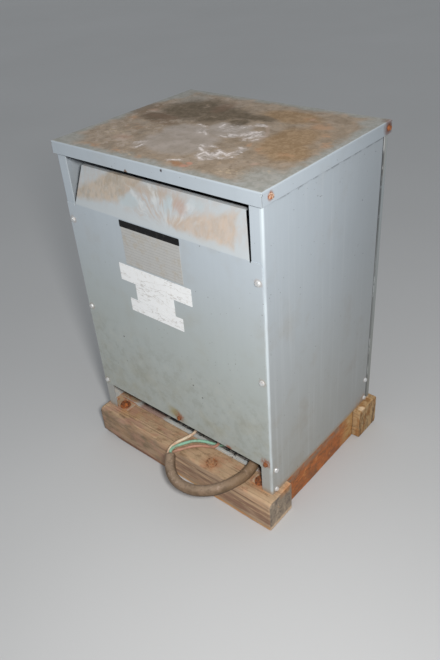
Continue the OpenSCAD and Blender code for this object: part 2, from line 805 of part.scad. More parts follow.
skid_timber_front();
skid_timber_rear();
skid_timber_left();
skid_timber_right();
lag_bolts();
base_angle_left();
base_angle_right();
base_pan();
side_panel_left();
side_panel_right();
front_panel();
rear_panel();
lid();
panel_crossbar_front();
panel_crossbar_rear();
front_panel_screws();
rear_panel_screws();
side_screws_left();
side_screws_right();
lid_screws();
core();
coil_left();
coil_middle();
coil_right();
coil_blocks();
clamp_bottom_front();
clamp_bottom_rear();
clamp_top_front();
clamp_top_rear();
tie_bolts();
rubber_pads();
terminal_board();
board_brackets();
terminal_lugs();
winding_leads();
ground_lug();
cable_jacket();
conductor_white();
conductor_green();
conductor_red();
conductor_black();
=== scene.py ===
# %% [markdown]
# # A dry-type transformer in its sheet-steel cabinet
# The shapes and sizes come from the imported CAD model. This lesson dresses it: it makes the flexible
# cables and the rough-sawn timbers as finer meshes, and gives each part a procedural finish.
# Everything is in metres, in the frame of the CAD model, with Z up.

import functools
import itertools
import math
import random

import bpy
from mathutils import Matrix, Vector, noise


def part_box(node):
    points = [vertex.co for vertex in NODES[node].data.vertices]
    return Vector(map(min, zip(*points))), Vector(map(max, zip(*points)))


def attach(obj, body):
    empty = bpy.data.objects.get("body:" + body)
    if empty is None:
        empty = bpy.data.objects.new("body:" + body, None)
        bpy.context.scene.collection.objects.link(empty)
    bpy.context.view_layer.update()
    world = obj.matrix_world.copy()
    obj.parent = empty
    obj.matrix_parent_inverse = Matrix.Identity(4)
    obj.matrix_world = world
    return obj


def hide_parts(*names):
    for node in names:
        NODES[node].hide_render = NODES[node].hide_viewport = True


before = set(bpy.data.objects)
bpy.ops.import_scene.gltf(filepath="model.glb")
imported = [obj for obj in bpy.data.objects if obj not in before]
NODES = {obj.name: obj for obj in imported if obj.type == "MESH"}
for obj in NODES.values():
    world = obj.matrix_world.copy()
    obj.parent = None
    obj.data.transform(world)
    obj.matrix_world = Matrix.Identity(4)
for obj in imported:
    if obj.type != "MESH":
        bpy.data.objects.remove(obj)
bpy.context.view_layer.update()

# %% [markdown]
# ## Camera
# The camera was solved from the corners of the cabinet, so it stands where the photographer stood:
# above the cabinet, off its front right corner, looking down, with a slight roll. A camera matrix
# holds the directions to the right, up and backwards as its columns.

# %% Camera
MM = 0.001
CAMERA_AT = Vector((0.8169, -0.9213, 1.1370))
HEADING, TILT, ROLL = (math.radians(a) for a in (-42.797, -34.249, -4.851))
FOCAL_PIXELS, LONG_SIDE, SENSOR = 648.7, 660, 36.0

ahead = Vector((math.sin(HEADING) * math.cos(TILT), math.cos(HEADING) * math.cos(TILT), math.sin(TILT)))
level = ahead.cross(Vector((0, 0, 1))).normalized()
upright = level.cross(ahead)
to_right = math.cos(ROLL) * level + math.sin(ROLL) * upright
to_top = math.cos(ROLL) * upright - math.sin(ROLL) * level

camera = bpy.data.objects.new("camera", bpy.data.cameras.new("camera"))
camera.data.sensor_width = SENSOR
camera.data.lens = FOCAL_PIXELS / LONG_SIDE * SENSOR
turned = Matrix((to_right, to_top, -ahead)).transposed().to_4x4()
camera.matrix_world = Matrix.Translation(CAMERA_AT) @ turned
bpy.context.scene.collection.objects.link(camera)
bpy.context.scene.camera = camera
print("lens", round(camera.data.lens, 2), "mm")

# %% [markdown]
# ## Routes of the cable
# A jacketed cable leaves the opening under the front panel, makes a loop over the front timber and
# ends on it. Its conductors leave the cut end and go back inside to the lugs. The routes are the
# same points as in the CAD source. A centripetal Catmull-Rom curve runs through every point without
# the overshoot that a plain spline makes where the points are unevenly spaced.

# %% Routes
CABINET = Vector((-5, 10, 80)) * MM

ROUTES = {
    "cable_jacket": [
        (173, -129, 68), (176, -137.5, 57), (179.5, -147.5, 46), (182.5, -159, 35.5), (184, -173, 26),
        (183, -189, 18.5), (179.5, -206, 14), (173, -227, 12.3), (163, -251, 11.5), (146, -273, 9.5),
        (119, -289, 6), (86, -295, 3.5), (56, -290.5, 4), (30, -275, 7), (8, -251, 13)],
    "conductor_white": [
        (4.25, -254, 11.25), (-1.25, -248, 12.75), (-4.5, -239, 15.5), (-5.5, -228, 17.5),
        (-3, -213, 18.5), (2, -199, 19), (7, -185, 20), (10.5, -172, 22), (12, -160, 31),
        (6, -148, 48), (-10, -138, 70), (-30, -131, 87), (-40, -129, 98), (-40, -129, 116)],
    "conductor_green": [
        (9.5, -251, 18.5), (5.1, -246.2, 19.7), (3, -240, 20.3), (3, -232, 20.3), (5, -223.5, 19.6),
        (8.5, -214, 18.3), (14, -200.5, 16.5), (23, -186.5, 15), (38, -175.5, 14.2), (50, -170.3, 13.9),
        (63, -166, 13.8), (75, -162, 14), (85, -158.3, 15.6), (91.5, -155, 17.9), (95.8, -150.8, 20),
        (97, -147, 21), (97, -143, 21)],
    "conductor_red": [
        (10.25, -248.25, 10.25), (5.85, -243.45, 11.45), (5, -237.5, 11.8), (7.5, -230, 11.4),
        (12.5, -221, 10.5), (18.5, -209.5, 9.5), (26, -198, 8.8), (35, -188.5, 8.2), (44, -181.5, 8),
        (53, -177, 8.4), (62, -174.5, 9.6), (70, -172.5, 12.7), (76.5, -169, 18), (80, -163, 26),
        (78, -155.5, 37), (70, -146, 52), (56, -136.5, 71), (44.5, -130.5, 87), (40, -129, 98),
        (40, -129, 116)],
    "conductor_black": [
        (173, -129, 68), (171.2, -123.9, 74.6), (167, -121.5, 80), (158, -121.5, 83),
        (147, -123.5, 84.5), (135, -126.5, 86), (126, -128.5, 90.5), (120, -129, 98), (120, -129, 116)],
}
print("points in each route:", {name: len(points) for name, points in ROUTES.items()})


def evenly(line, count):
    """count points at equal steps along a line of points."""
    reach = [0.0]
    for a, b in zip(line, line[1:]):
        reach.append(reach[-1] + (b - a).length)
    found, k = [], 0
    for i in range(count):
        goal = reach[-1] * i / (count - 1)
        while k < len(line) - 2 and reach[k + 1] < goal:
            k += 1
        share = (goal - reach[k]) / (reach[k + 1] - reach[k])
        found.append(line[k].lerp(line[k + 1], min(1.0, share)))
    return found


def smooth_line(points, count, steps=12):
    """count evenly spaced points on the Catmull-Rom curve through the given points."""
    held = [2 * points[0] - points[1], *points, 2 * points[-1] - points[-2]]
    line = []
    for a, b, c, d in zip(held, held[1:], held[2:], held[3:]):
        ta = 0.0
        tb = ta + math.sqrt((b - a).length)
        tc = tb + math.sqrt((c - b).length)
        td = tc + math.sqrt((d - c).length)
        for i in range(steps):
            t = tb + (tc - tb) * i / steps
            ab = a.lerp(b, (t - ta) / (tb - ta))
            bc = b.lerp(c, (t - tb) / (tc - tb))
            cd = c.lerp(d, (t - tc) / (td - tc))
            early = ab.lerp(bc, (t - ta) / (tc - ta))
            late = bc.lerp(cd, (t - tb) / (td - tb))
            line.append(early.lerp(late, (t - tb) / (tc - tb)))
    return evenly([*line, points[-1]], count)


def length_of(line):
    """Length along a line of points."""
    return sum((b - a).length for a, b in zip(line, line[1:]))


# %% [markdown]
# ## Cable and conductors
# A cable is a tube: rings of vertices carried along the route without twist, joined by quads. The
# jacket gets soft dents and lengthwise creases, as an old rubber jacket has, so its radius varies a
# little from vertex to vertex.

# %% Tubes along a route
def add_piece(name, vertices, faces, slot, smooth=True, replaces=()):
    """A mesh piece that rides on the cabinet, and may stand for CAD nodes."""
    mesh = bpy.data.meshes.new(name)
    mesh.from_pydata([tuple(v) for v in vertices], [], faces)
    mesh.validate()
    mesh.polygons.foreach_set("use_smooth", [smooth] * len(mesh.polygons))
    mesh.update()
    piece = bpy.data.objects.new(name, mesh)
    bpy.context.scene.collection.objects.link(piece)
    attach(piece, "root")
    if replaces:
        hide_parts(*replaces)
    return piece


def tube(line, radius_at, sides):
    """Vertices and faces of a closed tube; radius_at(i, angle) gives its radius."""
    vertices, faces = [], []
    side = Vector((0.1, 0.2, 1.0))
    for i, centre in enumerate(line):
        run = (line[min(i + 1, len(line) - 1)] - line[max(i - 1, 0)]).normalized()
        side = (side - side.dot(run) * run).normalized()
        across = run.cross(side)
        for k in range(sides):
            angle = 2 * math.pi * k / sides
            out = math.cos(angle) * side + math.sin(angle) * across
            vertices.append(centre + radius_at(i, angle) * out)
    for i in range(len(line) - 1):
        for k in range(sides):
            a, b = i * sides + k, i * sides + (k + 1) % sides
            faces.append((a, b, b + sides, a + sides))
    for end, first in ((0, 0), (-1, (len(line) - 1) * sides)):
        vertices.append(line[end])
        hub = len(vertices) - 1
        for k in range(sides):
            a, b = first + k, first + (k + 1) % sides
            faces.append((hub, b, a) if end == 0 else (hub, a, b))
    return vertices, faces


def add_cord(name, diameter, rings, sides, slot, dent):
    """A tube of that many rings and sides along one of the routes."""
    route = [CABINET + Vector(p) * MM for p in ROUTES[name]]
    path = smooth_line(route, 40)
    line = smooth_line(route, rings)

    def radius_at(i, angle):
        spot = Vector((i * 0.11, math.cos(angle) * 1.3, math.sin(angle) * 1.3))
        lip = 0.94 if i in (0, rings - 1) else 1.0
        return diameter / 2 * lip * (1 + dent * (noise.noise(spot) + 0.5 * noise.noise(spot * 2.7)))

    piece = add_piece(name + "_visible", *tube(line, radius_at, sides), slot, replaces=(name,))
    length_of(path)
    print(f"{name}: {length_of(path) * 1000:.0f} mm long, {diameter * 1000:.0f} mm thick")
    return piece


CABLE, WIRE = 24 * MM, 7 * MM
jacket = add_cord("cable_jacket", CABLE, 150, 40, "jacket_rubber", dent=0.03)
conductors = {
    colour: add_cord(f"conductor_{colour}", WIRE, 130, 16, f"wire_{colour}", dent=0.02)
    for colour in ("white", "green", "red", "black")
}

# %% [markdown]
# ## Light and floor
# The unit was lit from just right of the lens: its shadows are thin lines on the left of each part,
# and what lies nearest to the camera is brightest. One soft lamp stands there, and the world fills
# in the rest at a level at which a colour comes out about as it is written.

# %% Light and floor
MIDDLE = Vector((0.0, 0.0, 0.42))
LAMP_WIDTH, LAMP_WATTS, WORLD_STRENGTH = 0.16, 18.5, 0.42

lamp = bpy.data.objects.new("lamp", bpy.data.lights.new("lamp", "AREA"))
lamp.data.shape = "DISK"
lamp.data.size = LAMP_WIDTH
lamp.data.energy = LAMP_WATTS
lamp.data.color = (1.0, 0.985, 0.96)
lamp.location = CAMERA_AT - 0.10 * ahead + 0.12 * to_right + 0.05 * to_top
lamp.rotation_euler = (MIDDLE - lamp.location).to_track_quat("-Z", "Y").to_euler()
bpy.context.scene.collection.objects.link(lamp)

world = bpy.data.worlds.new("world")
world.use_nodes = True
world.node_tree.nodes["Background"].inputs["Color"].default_value = (0.93, 0.97, 1.0, 1.0)
world.node_tree.nodes["Background"].inputs["Strength"].default_value = WORLD_STRENGTH
bpy.context.scene.world = world
bpy.context.scene.view_settings.view_transform = "Standard"

FLOOR_HALF = 9.0
floor_mesh = bpy.data.meshes.new("floor")
floor_mesh.from_pydata([(-FLOOR_HALF, -FLOOR_HALF, 0), (FLOOR_HALF, -FLOOR_HALF, 0),
                        (FLOOR_HALF, FLOOR_HALF, 0), (-FLOOR_HALF, FLOOR_HALF, 0)], [], [(0, 1, 2, 3)])
floor = bpy.data.objects.new("floor", floor_mesh)
bpy.context.scene.collection.objects.link(floor)


# %% [markdown]
# ## Arithmetic on sockets
# A finish is easier to read as formulas than as boxes and links. Field wraps one output socket, and
# each operator adds the Math node that does it. Finish holds one material: its colour, roughness
# and height so far, and methods that lay a film over it, as a painter would. Masks run from 0 to 1
# and come from three sources: noise, the distance to a point or patch, and the surface's direction.

# %% Field and Finish
class Field:
    """One value, colour or vector at every point of a surface."""

    def __init__(self, finish, socket):
        self.finish, self.socket = finish, socket

    def other(self, output):
        """Another output of the same node."""
        return Field(self.finish, self.socket.node.outputs[output])

    def fade(self, zero, one):
        """A soft step: 0 where the value is at zero, 1 where it is at one."""
        step = self.finish.node("ShaderNodeMapRange", {"interpolation_type": "SMOOTHSTEP"},
                                {0: self, 1: min(zero, one), 2: max(zero, one), 3: 0.0, 4: 1.0})
        return step if one > zero else 1 - step

    def shaken(self, amount, noise_field):
        """The value moved up and down by noise around 0.5, which gives a step a ragged line."""
        return self + amount * (noise_field - 0.5)

    def __add__(self, b): return self.finish.maths("ADD", self, b)
    def __radd__(self, b): return self.finish.maths("ADD", b, self)
    def __sub__(self, b): return self.finish.maths("SUBTRACT", self, b)
    def __rsub__(self, b): return self.finish.maths("SUBTRACT", b, self)
    def __mul__(self, b): return self.finish.maths("MULTIPLY", self, b)
    def __rmul__(self, b): return self.finish.maths("MULTIPLY", b, self)
    def __pow__(self, b): return self.finish.maths("POWER", self, b)
    def __rpow__(self, b): return self.finish.maths("POWER", b, self)
    def __abs__(self): return self.finish.maths("ABSOLUTE", self)


def linear(colour):
    """A screen colour, 0 to 255, as the linear colour that a shader takes. A Field is linear already."""
    if isinstance(colour, Field):
        return colour
    return (*[c / 255 / 12.92 if c < 11 else ((c / 255 + 0.055) / 1.055) ** 2.4 for c in colour], 1.0)


class Finish:
    """A material that is built up in layers. Its colours are written as screen colours."""

    def __init__(self, name, colour, roughness=0.5, metallic=0.0, **constants):
        self.material = bpy.data.materials.new(name)
        self.material.use_nodes = True
        self.tree = self.material.node_tree
        self.shader = self.tree.nodes["Principled BSDF"]
        for socket, value in constants.items():
            self.shader.inputs[socket.replace("_", " ")].default_value = value
        self.place = self.node("ShaderNodeTexCoord", output="Object")
        self.x = self.split(self.place)
        self.y, self.z = self.x.other(1), self.x.other(2)
        self.facing = self.node("ShaderNodeNewGeometry", output="True Normal")
        self.colour, self.roughness, self.metallic, self.height = colour, roughness, metallic, 0.0

    def node(self, kind, settings=None, sockets=None, output=0):
        """Adds one node: its settings first, then the values or links of its sockets."""
        made = self.tree.nodes.new(kind)
        for name, value in (settings or {}).items():
            setattr(made, name, value)
        for key, value in (sockets or {}).items():
            self.feed(made.inputs[key], value)
        return Field(self, made.outputs[output])

    def feed(self, socket, value):
        if isinstance(value, Field):
            self.tree.links.new(value.socket, socket)
        else:
            socket.default_value = value

    def maths(self, operation, a, b=0.0):
        return self.node("ShaderNodeMath", {"operation": operation}, {0: a, 1: b})

    def vectors(self, operation, a, b, output=0):
        return self.node("ShaderNodeVectorMath", {"operation": operation}, {0: a, 1: b}, output)

    def scaled(self, vector, amount):
        return self.node("ShaderNodeVectorMath", {"operation": "SCALE"}, {0: vector, 3: amount})

    def length(self, vector):
        return self.node("ShaderNodeVectorMath", {"operation": "LENGTH"}, {0: vector}, 1)

    def split(self, vector, axis=0):
        """One component of a vector. Its others are other outputs of the same node."""
        return self.node("ShaderNodeSeparateXYZ", {}, {0: vector}, axis)

    def part(self, axis):
        """One component of the surface's direction: 2 is upwards."""
        return self.split(self.facing, axis)

    def least(self, *fields):
        """The smallest of several values."""
        return functools.reduce(lambda a, b: self.maths("MINIMUM", a, b), fields)

    def most(self, *fields):
        """The largest of several values."""
        return functools.reduce(lambda a, b: self.maths("MAXIMUM", a, b), fields)

    def mixed(self, mask, under, over):
        """Colour over the colour under it, as far as the mask goes."""
        return self.node("ShaderNodeMix", {"data_type": "RGBA"},
                         {0: mask, 6: linear(under), 7: linear(over)}, 2)

    def dimmed(self, colour, amount):
        """A colour made darker or brighter by an amount that varies over the surface."""
        return self.scaled(colour if isinstance(colour, Field) else linear(colour)[:3], amount)

    def cloud(self, size, detail=3, rough=0.55, x=1, y=1, z=1, shift=0.0, where=None, output=0):
        """Noise around 0.5 whose blobs are about size wide, and x, y or z times as long along an axis."""
        spot = self.vectors("MULTIPLY", where or self.place, [1 / (size * s) for s in (x, y, z)])
        spot = self.vectors("ADD", spot, (shift, 1.7 * shift, 0.6 * shift))
        return self.node("ShaderNodeTexNoise", {},
                         {"Vector": spot, "Scale": 1.0, "Detail": detail, "Roughness": rough}, output)

    def blots(self, size, zero, one, detail=5, rough=0.65, **more):
        """Ragged blots: noise of that size, faded in between two of its values."""
        return self.cloud(size, detail, rough, **more).fade(zero, one)

    def ragged(self, amount, size, detail=3):
        """The place, shaken by noise, for patches with ragged outlines."""
        shake = self.vectors("SUBTRACT", self.cloud(size, detail, output=1), (0.5, 0.5, 0.5))
        return self.vectors("ADD", self.place, self.scaled(shake, 2 * amount))

    def patch(self, centre, radii, soft=0.5, where=None):
        """1 inside an ellipsoid, fading to 0 at its skin."""
        gap = self.vectors("SUBTRACT", where or self.place, centre)
        return self.length(self.vectors("DIVIDE", gap, radii)).fade(1.0, 1 - soft)

    def near(self, points, radius, soft=0.6, where=None):
        """1 close to any of the points, fading to 0 at the radius."""
        gaps = [self.vectors("DISTANCE", where or self.place, p, 1) for p in points]
        return self.least(*gaps).fade(radius, radius * (1 - soft))

    def thin(self, field, middle, width):
        """Thin lines where a field passes its middle value."""
        return abs(field - middle).fade(width, width * 0.3)

    def edges(self, radius):
        """1 along sharp outer and inner edges."""
        rounded = self.node("ShaderNodeBevel", {"samples": 4}, {0: radius})
        return self.vectors("DOT_PRODUCT", rounded, self.facing, 1).fade(0.995, 0.86)

    def lay(self, mask, colour, roughness=None, metallic=None):
        """Lays a film over the finish so far."""
        self.colour = self.mixed(mask, self.colour, colour)
        if roughness is not None:
            self.roughness = self.roughness + (roughness - self.roughness) * mask
        if metallic is not None:
            self.metallic = self.metallic + (metallic - self.metallic) * mask

    def relief(self, field, depth):
        """Raises the surface by up to depth where the field is 1."""
        self.height = self.height + field * depth

    def dress(self, *pieces, round_edges=0.0):
        """Links the layers to the shader and puts the material on the pieces."""
        self.feed(self.shader.inputs["Base Color"], linear(self.colour))
        self.feed(self.shader.inputs["Roughness"], self.roughness)
        self.feed(self.shader.inputs["Metallic"], self.metallic)
        bump = {"Strength": 1.0, "Distance": 1.0, "Height": self.height}
        if round_edges:
            bump["Normal"] = self.node("ShaderNodeBevel", {"samples": 4}, {0: round_edges})
        self.feed(self.shader.inputs["Normal"], self.node("ShaderNodeBump", {}, bump))
        for piece in pieces:
            piece = NODES[piece] if isinstance(piece, str) else piece
            if not piece.material_slots:
                piece.data.materials.append(self.material)
            for slot in piece.material_slots:
                slot.material = self.material
        print(f"{self.material.name}: {len(self.tree.nodes)} nodes on {len(pieces)} piece(s)")


# %% [markdown]
# ## Floor
# A plain, pale, dull floor that only carries the unit's shadow.

# %% Floor finish
ground = Finish("pale_floor", (196, 196, 196), 0.9)
ground.colour = ground.mixed(ground.cloud(1.2, 2), (190, 190, 190), (200, 200, 201))
ground.dress(floor)

# %% [markdown]
# ## Cabinet paint
# The cabinet is grey-blue enamel on sheet steel. It is bluer and cleaner near the top, where rain
# keeps it clean, and a neutral, dusty grey near the ground. Faint upright streaks, a few dark
# specks and worn, brighter edges keep it from looking flat. All sheet-metal parts share this base,
# and each of them adds its own dirt.

# %% Base coat
RUST_DARK, RUST_MID, RUST_ORANGE = (92, 58, 40), (142, 86, 52), (186, 108, 54)
DUST = (150, 140, 124)


def cabinet_paint(name):
    """The base coat of all sheet-metal parts."""
    coat = Finish(name, (166, 174, 181), 0.46, Specular_IOR_Level=0.45)
    rise = coat.z.shaken(0.10, coat.cloud(0.18, 2)).fade(0.08, 0.72)
    coat.colour = coat.mixed(rise, (162, 163, 160), (172, 181, 189))
    streak = coat.cloud(0.012, 4, 0.6, z=22)
    mottle = coat.cloud(0.045, 5, 0.6, shift=3.1)
    coat.colour = coat.dimmed(coat.colour, 0.955 + 0.06 * streak + 0.05 * mottle)
    dusty = coat.blots(0.09, 0.50, 0.72, rough=0.62, shift=7.7) * (1 - 0.6 * rise)
    coat.lay(0.35 * dusty, DUST, 0.7)
    speckled = coat.blots(0.0045, 0.735, 0.77, 1, 0.55, shift=1.3)
    specks = speckled * coat.blots(0.05, 0.48, 0.6, 2, 0.55, shift=9)
    coat.lay(0.8 * specks, (70, 62, 56), 0.8)
    worn = coat.edges(0.0016) * coat.blots(0.02, 0.3, 0.6, 3, 0.55, shift=5)
    coat.lay(0.75 * worn, (205, 212, 217), 0.4)
    coat.relief(coat.cloud(0.0016, 2, shift=2), 0.00004)
    coat.relief(coat.cloud(0.11, 2, shift=4), 0.0012)
    coat.relief(specks, -0.00015)
    return coat


# %% [markdown]
# ## Front panel
# The flap over the vent has caught muddy water that was wiped about: two brown patches with streaky
# swirls between them, and a cleaner strip along the bend. Lower down the sheet has yellowish
# mottles, and rust runs from two of its screws.

# %% Front panel finish
BEND_Z = 627 * MM
SCREW_ROWS_Z = (164 * MM, 377 * MM, 590 * MM)
SCREW_X = (-245.5 * MM, 235.5 * MM)
FACE_Y = -191 * MM

panel = cabinet_paint("front_panel_paint")
# painted light: the front panel's coat is painted 7% brighter than the sides', as the lit face
panel.colour = panel.dimmed(panel.colour, 1.07)
panel.lay(0.32 * panel.z.fade(0.62, 0.36), (166, 176, 166), 0.5)
on_flap = panel.z.fade(BEND_Z - 2 * MM, BEND_Z + 3 * MM)
# painted light: the flap is painted paler where it tips up towards the lamp
panel.lay(0.6 * on_flap, (186, 190, 191), 0.5)
loose = panel.ragged(0.012, 0.030, 5)
loose_x = panel.split(loose)
loose_z = loose_x.other(2)
grime = panel.cloud(0.016, 6, 0.66, z=1.8, shift=2.2)
film_grain = panel.cloud(0.006, 4, 0.6, z=2.2, shift=5.2)
left_mud = panel.least(loose_x + 0.232, loose_z - 0.13 * loose_x - 0.666,
                       0.776 + 0.5 * loose_x - loose_z, 1.2 * loose_z - loose_x - 0.886).fade(-0.003, 0.012)
right_mud = panel.least(loose_z - 0.634, 0.190 - loose_x, 0.650 + 0.28 * loose_x - loose_z,
                        loose_x - 1.003 + 1.5 * loose_z).fade(-0.003, 0.012)


def flap_patch(x, z, wide, high, soft, y=-0.18):
    """A ragged ellipse on the flap: its middle, half width and half height."""
    return panel.patch((x, y, z), (wide, 0.05, high), soft, loose)


upper_mud = flap_patch(-0.02, 0.694, 0.11, 0.013, 0.8, -0.178)
print("front panel, masks of the flap:", len(panel.tree.nodes), "nodes")

# %% [markdown]
# Between the two patches somebody wiped the mud with a hand. The strokes fan out from a point on
# the bend, so they are noise in polar coordinates: fine across the angle, long along the radius.

# %% Wiped strokes
fan_x, fan_z = panel.x - 0.035, panel.z - 0.622
angle = panel.maths("ARCTAN2", fan_z, fan_x)
reach = (fan_x * fan_x + fan_z * fan_z) ** 0.5
across = angle * 0.06 + panel.cloud(0.03, 2, shift=6) * 0.02
polar = panel.node("ShaderNodeCombineXYZ", {}, {0: across, 1: reach})
strokes = panel.cloud(0.009, 4, 0.62, y=6, where=polar)
wiped = flap_patch(0.004, 0.676, 0.135, 0.045, 0.6, -0.178)
mud = panel.mixed(grime.fade(0.40, 0.60), (162, 146, 126), (186, 170, 152))
panel.lay(on_flap * 0.35 * grime.fade(0.40, 0.62) * panel.z.fade(0.636, 0.655), (182, 168, 158), 0.6)
panel.lay(on_flap * left_mud * (0.30 + 0.9 * film_grain), mud, 0.65)
panel.lay(on_flap * right_mud * (0.25 + 0.9 * film_grain), panel.mixed(0.5, mud, (196, 172, 154)), 0.65)
panel.lay(on_flap * 0.6 * upper_mud, (172, 158, 142), 0.65)
panel.lay(on_flap * 0.62 * wiped * strokes.fade(0.46, 0.60), (178, 160, 146), 0.6)
panel.lay(on_flap * 0.60 * wiped * strokes.fade(0.48, 0.36), (206, 208, 208), 0.5)
panel.lay(on_flap * 0.55 * flap_patch(0.058, 0.680, 0.022, 0.020, 0.7), (176, 150, 138), 0.6)
clear = panel.most(flap_patch(-0.070, 0.664, 0.034, 0.016, 0.6),
                   flap_patch(0.028, 0.682, 0.016, 0.026, 0.7),
                   0.7 * flap_patch(0.100, 0.690, 0.022, 0.016, 0.7))
panel.lay(0.75 * on_flap * clear, (176, 188, 193), 0.48)

low_dirt = panel.z.fade(0.36, 0.15) * panel.blots(0.05, 0.44, 0.66, shift=11)
panel.lay(0.38 * low_dirt, (154, 148, 124), 0.7)
splashes = panel.cloud(0.021, 5, 0.66, shift=15)
splashed = (panel.z + 0.10 * panel.x).fade(0.40, 0.28)
panel.lay(0.22 * splashed * splashes.fade(0.50, 0.64), (130, 130, 116), 0.7)
panel.lay(0.22 * splashed * splashes.fade(0.48, 0.36), (186, 188, 180), 0.6)
stain = panel.patch((-0.016, FACE_Y, 0.174), (0.026, 0.02, 0.022), 0.8, panel.ragged(0.006, 0.015, 4))
panel.lay(0.75 * stain, (150, 134, 82), 0.7)
SPECKS = [(0.004, 0.418), (-0.040, 0.430), (0.075, 0.262), (0.052, 0.285), (-0.15, 0.33)]
specks = panel.near([(x, FACE_Y, z) for x, z in SPECKS], 0.0028, 0.6, panel.ragged(0.001, 0.003))
panel.lay(0.8 * specks, (84, 80, 76), 0.8)
bad_screws = [(-5 * MM, FACE_Y, SCREW_ROWS_Z[0]), (SCREW_X[1], FACE_Y, SCREW_ROWS_Z[0])]
all_screws = [(x, FACE_Y, z) for x in SCREW_X for z in SCREW_ROWS_Z]
panel.lay(0.45 * panel.near(all_screws, 0.011, where=panel.ragged(0.003, 0.006)), (168, 142, 120), 0.6)
above_screw = Vector((0.001, 0, 0.005))
rust_run = panel.near([Vector(p) + above_screw for p in bad_screws], 0.019, 0.8,
                      panel.ragged(0.007, 0.012, 5))
panel.lay(0.9 * rust_run * panel.blots(0.004, 0.36, 0.52, 4, 0.55, shift=8), (146, 90, 62), 0.8)
dusty_foot = panel.z.shaken(0.008, panel.cloud(0.012, 4)).fade(0.093, 0.081)
panel.lay(0.7 * dusty_foot, (160, 140, 116), 0.85)
edge_rust = panel.near([(0.138, FACE_Y, 0.152)], 0.012, 0.6, panel.ragged(0.006, 0.012))
panel.lay(0.85 * edge_rust, (150, 88, 62), 0.8)
panel.relief(panel.most(rust_run, edge_rust) * panel.cloud(0.002, 3), 0.0004)
panel.dress("front_panel", round_edges=0.0006)

# %% [markdown]
# ## Lid
# Water and mud have stood on the lid for years. Its top wears a grey-brown film: dark at the back
# left, smooth and grey in the middle, brown to the right with patches of orange rust. Bare paint
# shows at the corners, and the folded skirt stays clean. Each tone is a few ragged ellipses, laid
# where they are seen, with one noise for blotches and a finer one for flakes.

# %% Lid finish
lid_low, lid_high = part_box("lid")
print("lid:", [round(c, 3) for c in (*lid_low, *lid_high)])


def on_lid(x, y):
    """A point on the lid's top, measured from the middle of the cabinet in millimetres."""
    return Vector((CABINET.x + x * MM, CABINET.y + y * MM, lid_high.z))


def lid_patches(soft, *ellipses):
    """Ragged ellipses on the lid in one mask: x, y, half width and half depth in millimetres."""
    return lid.most(*[lid.patch(on_lid(x, y), (wide * MM, deep * MM, 0.05), soft, shaken)
                      for x, y, wide, deep in ellipses])


lid = cabinet_paint("lid_paint")
on_top = lid.part(2).fade(0.75, 0.97)
rim = lid.least(lid.x - lid_low.x, lid_high.x - lid.x, lid.y - lid_low.y, lid_high.y - lid.y)
shaken = lid.ragged(0.020, 0.035, 6)
mottle = lid.cloud(0.011, 6, 0.72)
flakes = lid.cloud(0.0065, 4, 0.62, x=1.5, shift=12)
smudge = lid.cloud(0.034, 5, 0.62, shift=4.4)
film = on_top * rim.shaken(0.004, smudge).fade(0.0002, 0.0026)
bare = lid.most(lid_patches(0.6, (228, -158, 70, 62), (-236, -178, 48, 44), (-246, 160, 40, 60),
                            (236, 168, 36, 40)),
                0.6 * lid_patches(0.7, (120, -200, 90, 18), (-190, 140, 50, 60)))
inner = rim.shaken(0.05, smudge).fade(0.004, 0.030) * (1 - 0.85 * bare)
lid.lay(0.95 * film, lid.mixed(mottle.fade(0.42, 0.60), (138, 137, 129), (154, 153, 148)), 0.60)
lid.lay(0.92 * film * inner, lid.mixed(smudge.fade(0.40, 0.62), (140, 121, 100), (156, 138, 120)), 0.62)
lid.lay(film * inner * 0.55 * mottle.fade(0.52, 0.64), (172, 148, 124), 0.6)
lid.lay(film * inner * 0.55 * mottle.fade(0.46, 0.35), (112, 95, 76), 0.7)

# %% [markdown]
# The brown ground on the right and the dark, oily patch at the back left come first, then the rust
# and the pale crumbs, which follow the blotches. The smooth grey middle is laid over all of them.

# %% Lid patches
brown = lid_patches(0.5, (155, 15, 62, 105), (190, -40, 50, 60), (80, 130, 96, 44))
lid.lay(film * 0.85 * brown, lid.mixed(mottle.fade(0.42, 0.60), (136, 108, 74), (158, 130, 98)), 0.7)
lid.lay(film * 0.7 * lid_patches(0.6, (-238, 44, 40, 62), (-150, -12, 70, 20)), (112, 90, 66), 0.7)
dark = lid_patches(0.55, (-136, 80, 96, 100), (-66, 76, 68, 76), (4, 92, 76, 26), (8, 54, 32, 30),
                   (-176, 10, 50, 34))
dark = dark * smudge.fade(0.20, 0.44)
lid.lay(film * 0.95 * dark, lid.mixed(mottle.fade(0.40, 0.62), (94, 80, 60), (116, 100, 80)), 0.72)
lid.lay(film * 0.6 * lid_patches(0.7, (-170, 12, 60, 26), (-85, 118, 26, 50)), (118, 92, 72), 0.7)
rust_spots = lid_patches(0.8, (196, -44, 27, 27), (168, 106, 32, 26), (226, 26, 12, 36), (126, 128, 24, 18),
                         (106, -40, 12, 10), (148, -52, 22, 20), (-168, -62, 34, 20), (-165, -180, 34, 12),
                         (-92, -184, 24, 10), (-214, -20, 22, 24), (-30, -185, 16, 8), (205, 66, 22, 20))
lid.lay(film * 0.55 * rust_spots * smudge.fade(0.40, 0.54), (176, 134, 100), 0.78)
pinkish = lid_patches(0.8, (-214, 42, 20, 16), (178, -113, 12, 11), (130, 132, 14, 10),
                      (-140, -120, 30, 22))
lid.lay(film * 0.45 * pinkish, (180, 148, 132), 0.7)
crumbs = lid_patches(0.7, (216, -131, 13, 9), (90, 86, 8, 12), (-60, -182, 40, 12), (-180, -100, 50, 30),
                     (160, -160, 50, 24))
lid.lay(film * 0.50 * crumbs * flakes.fade(0.50, 0.62), (194, 174, 146), 0.7)
lid.lay(film * inner * 0.30 * flakes.fade(0.62, 0.72) * (1 - dark), (198, 174, 150), 0.7)
blotches = lid.cloud(0.020, 6, 0.70, shift=21)
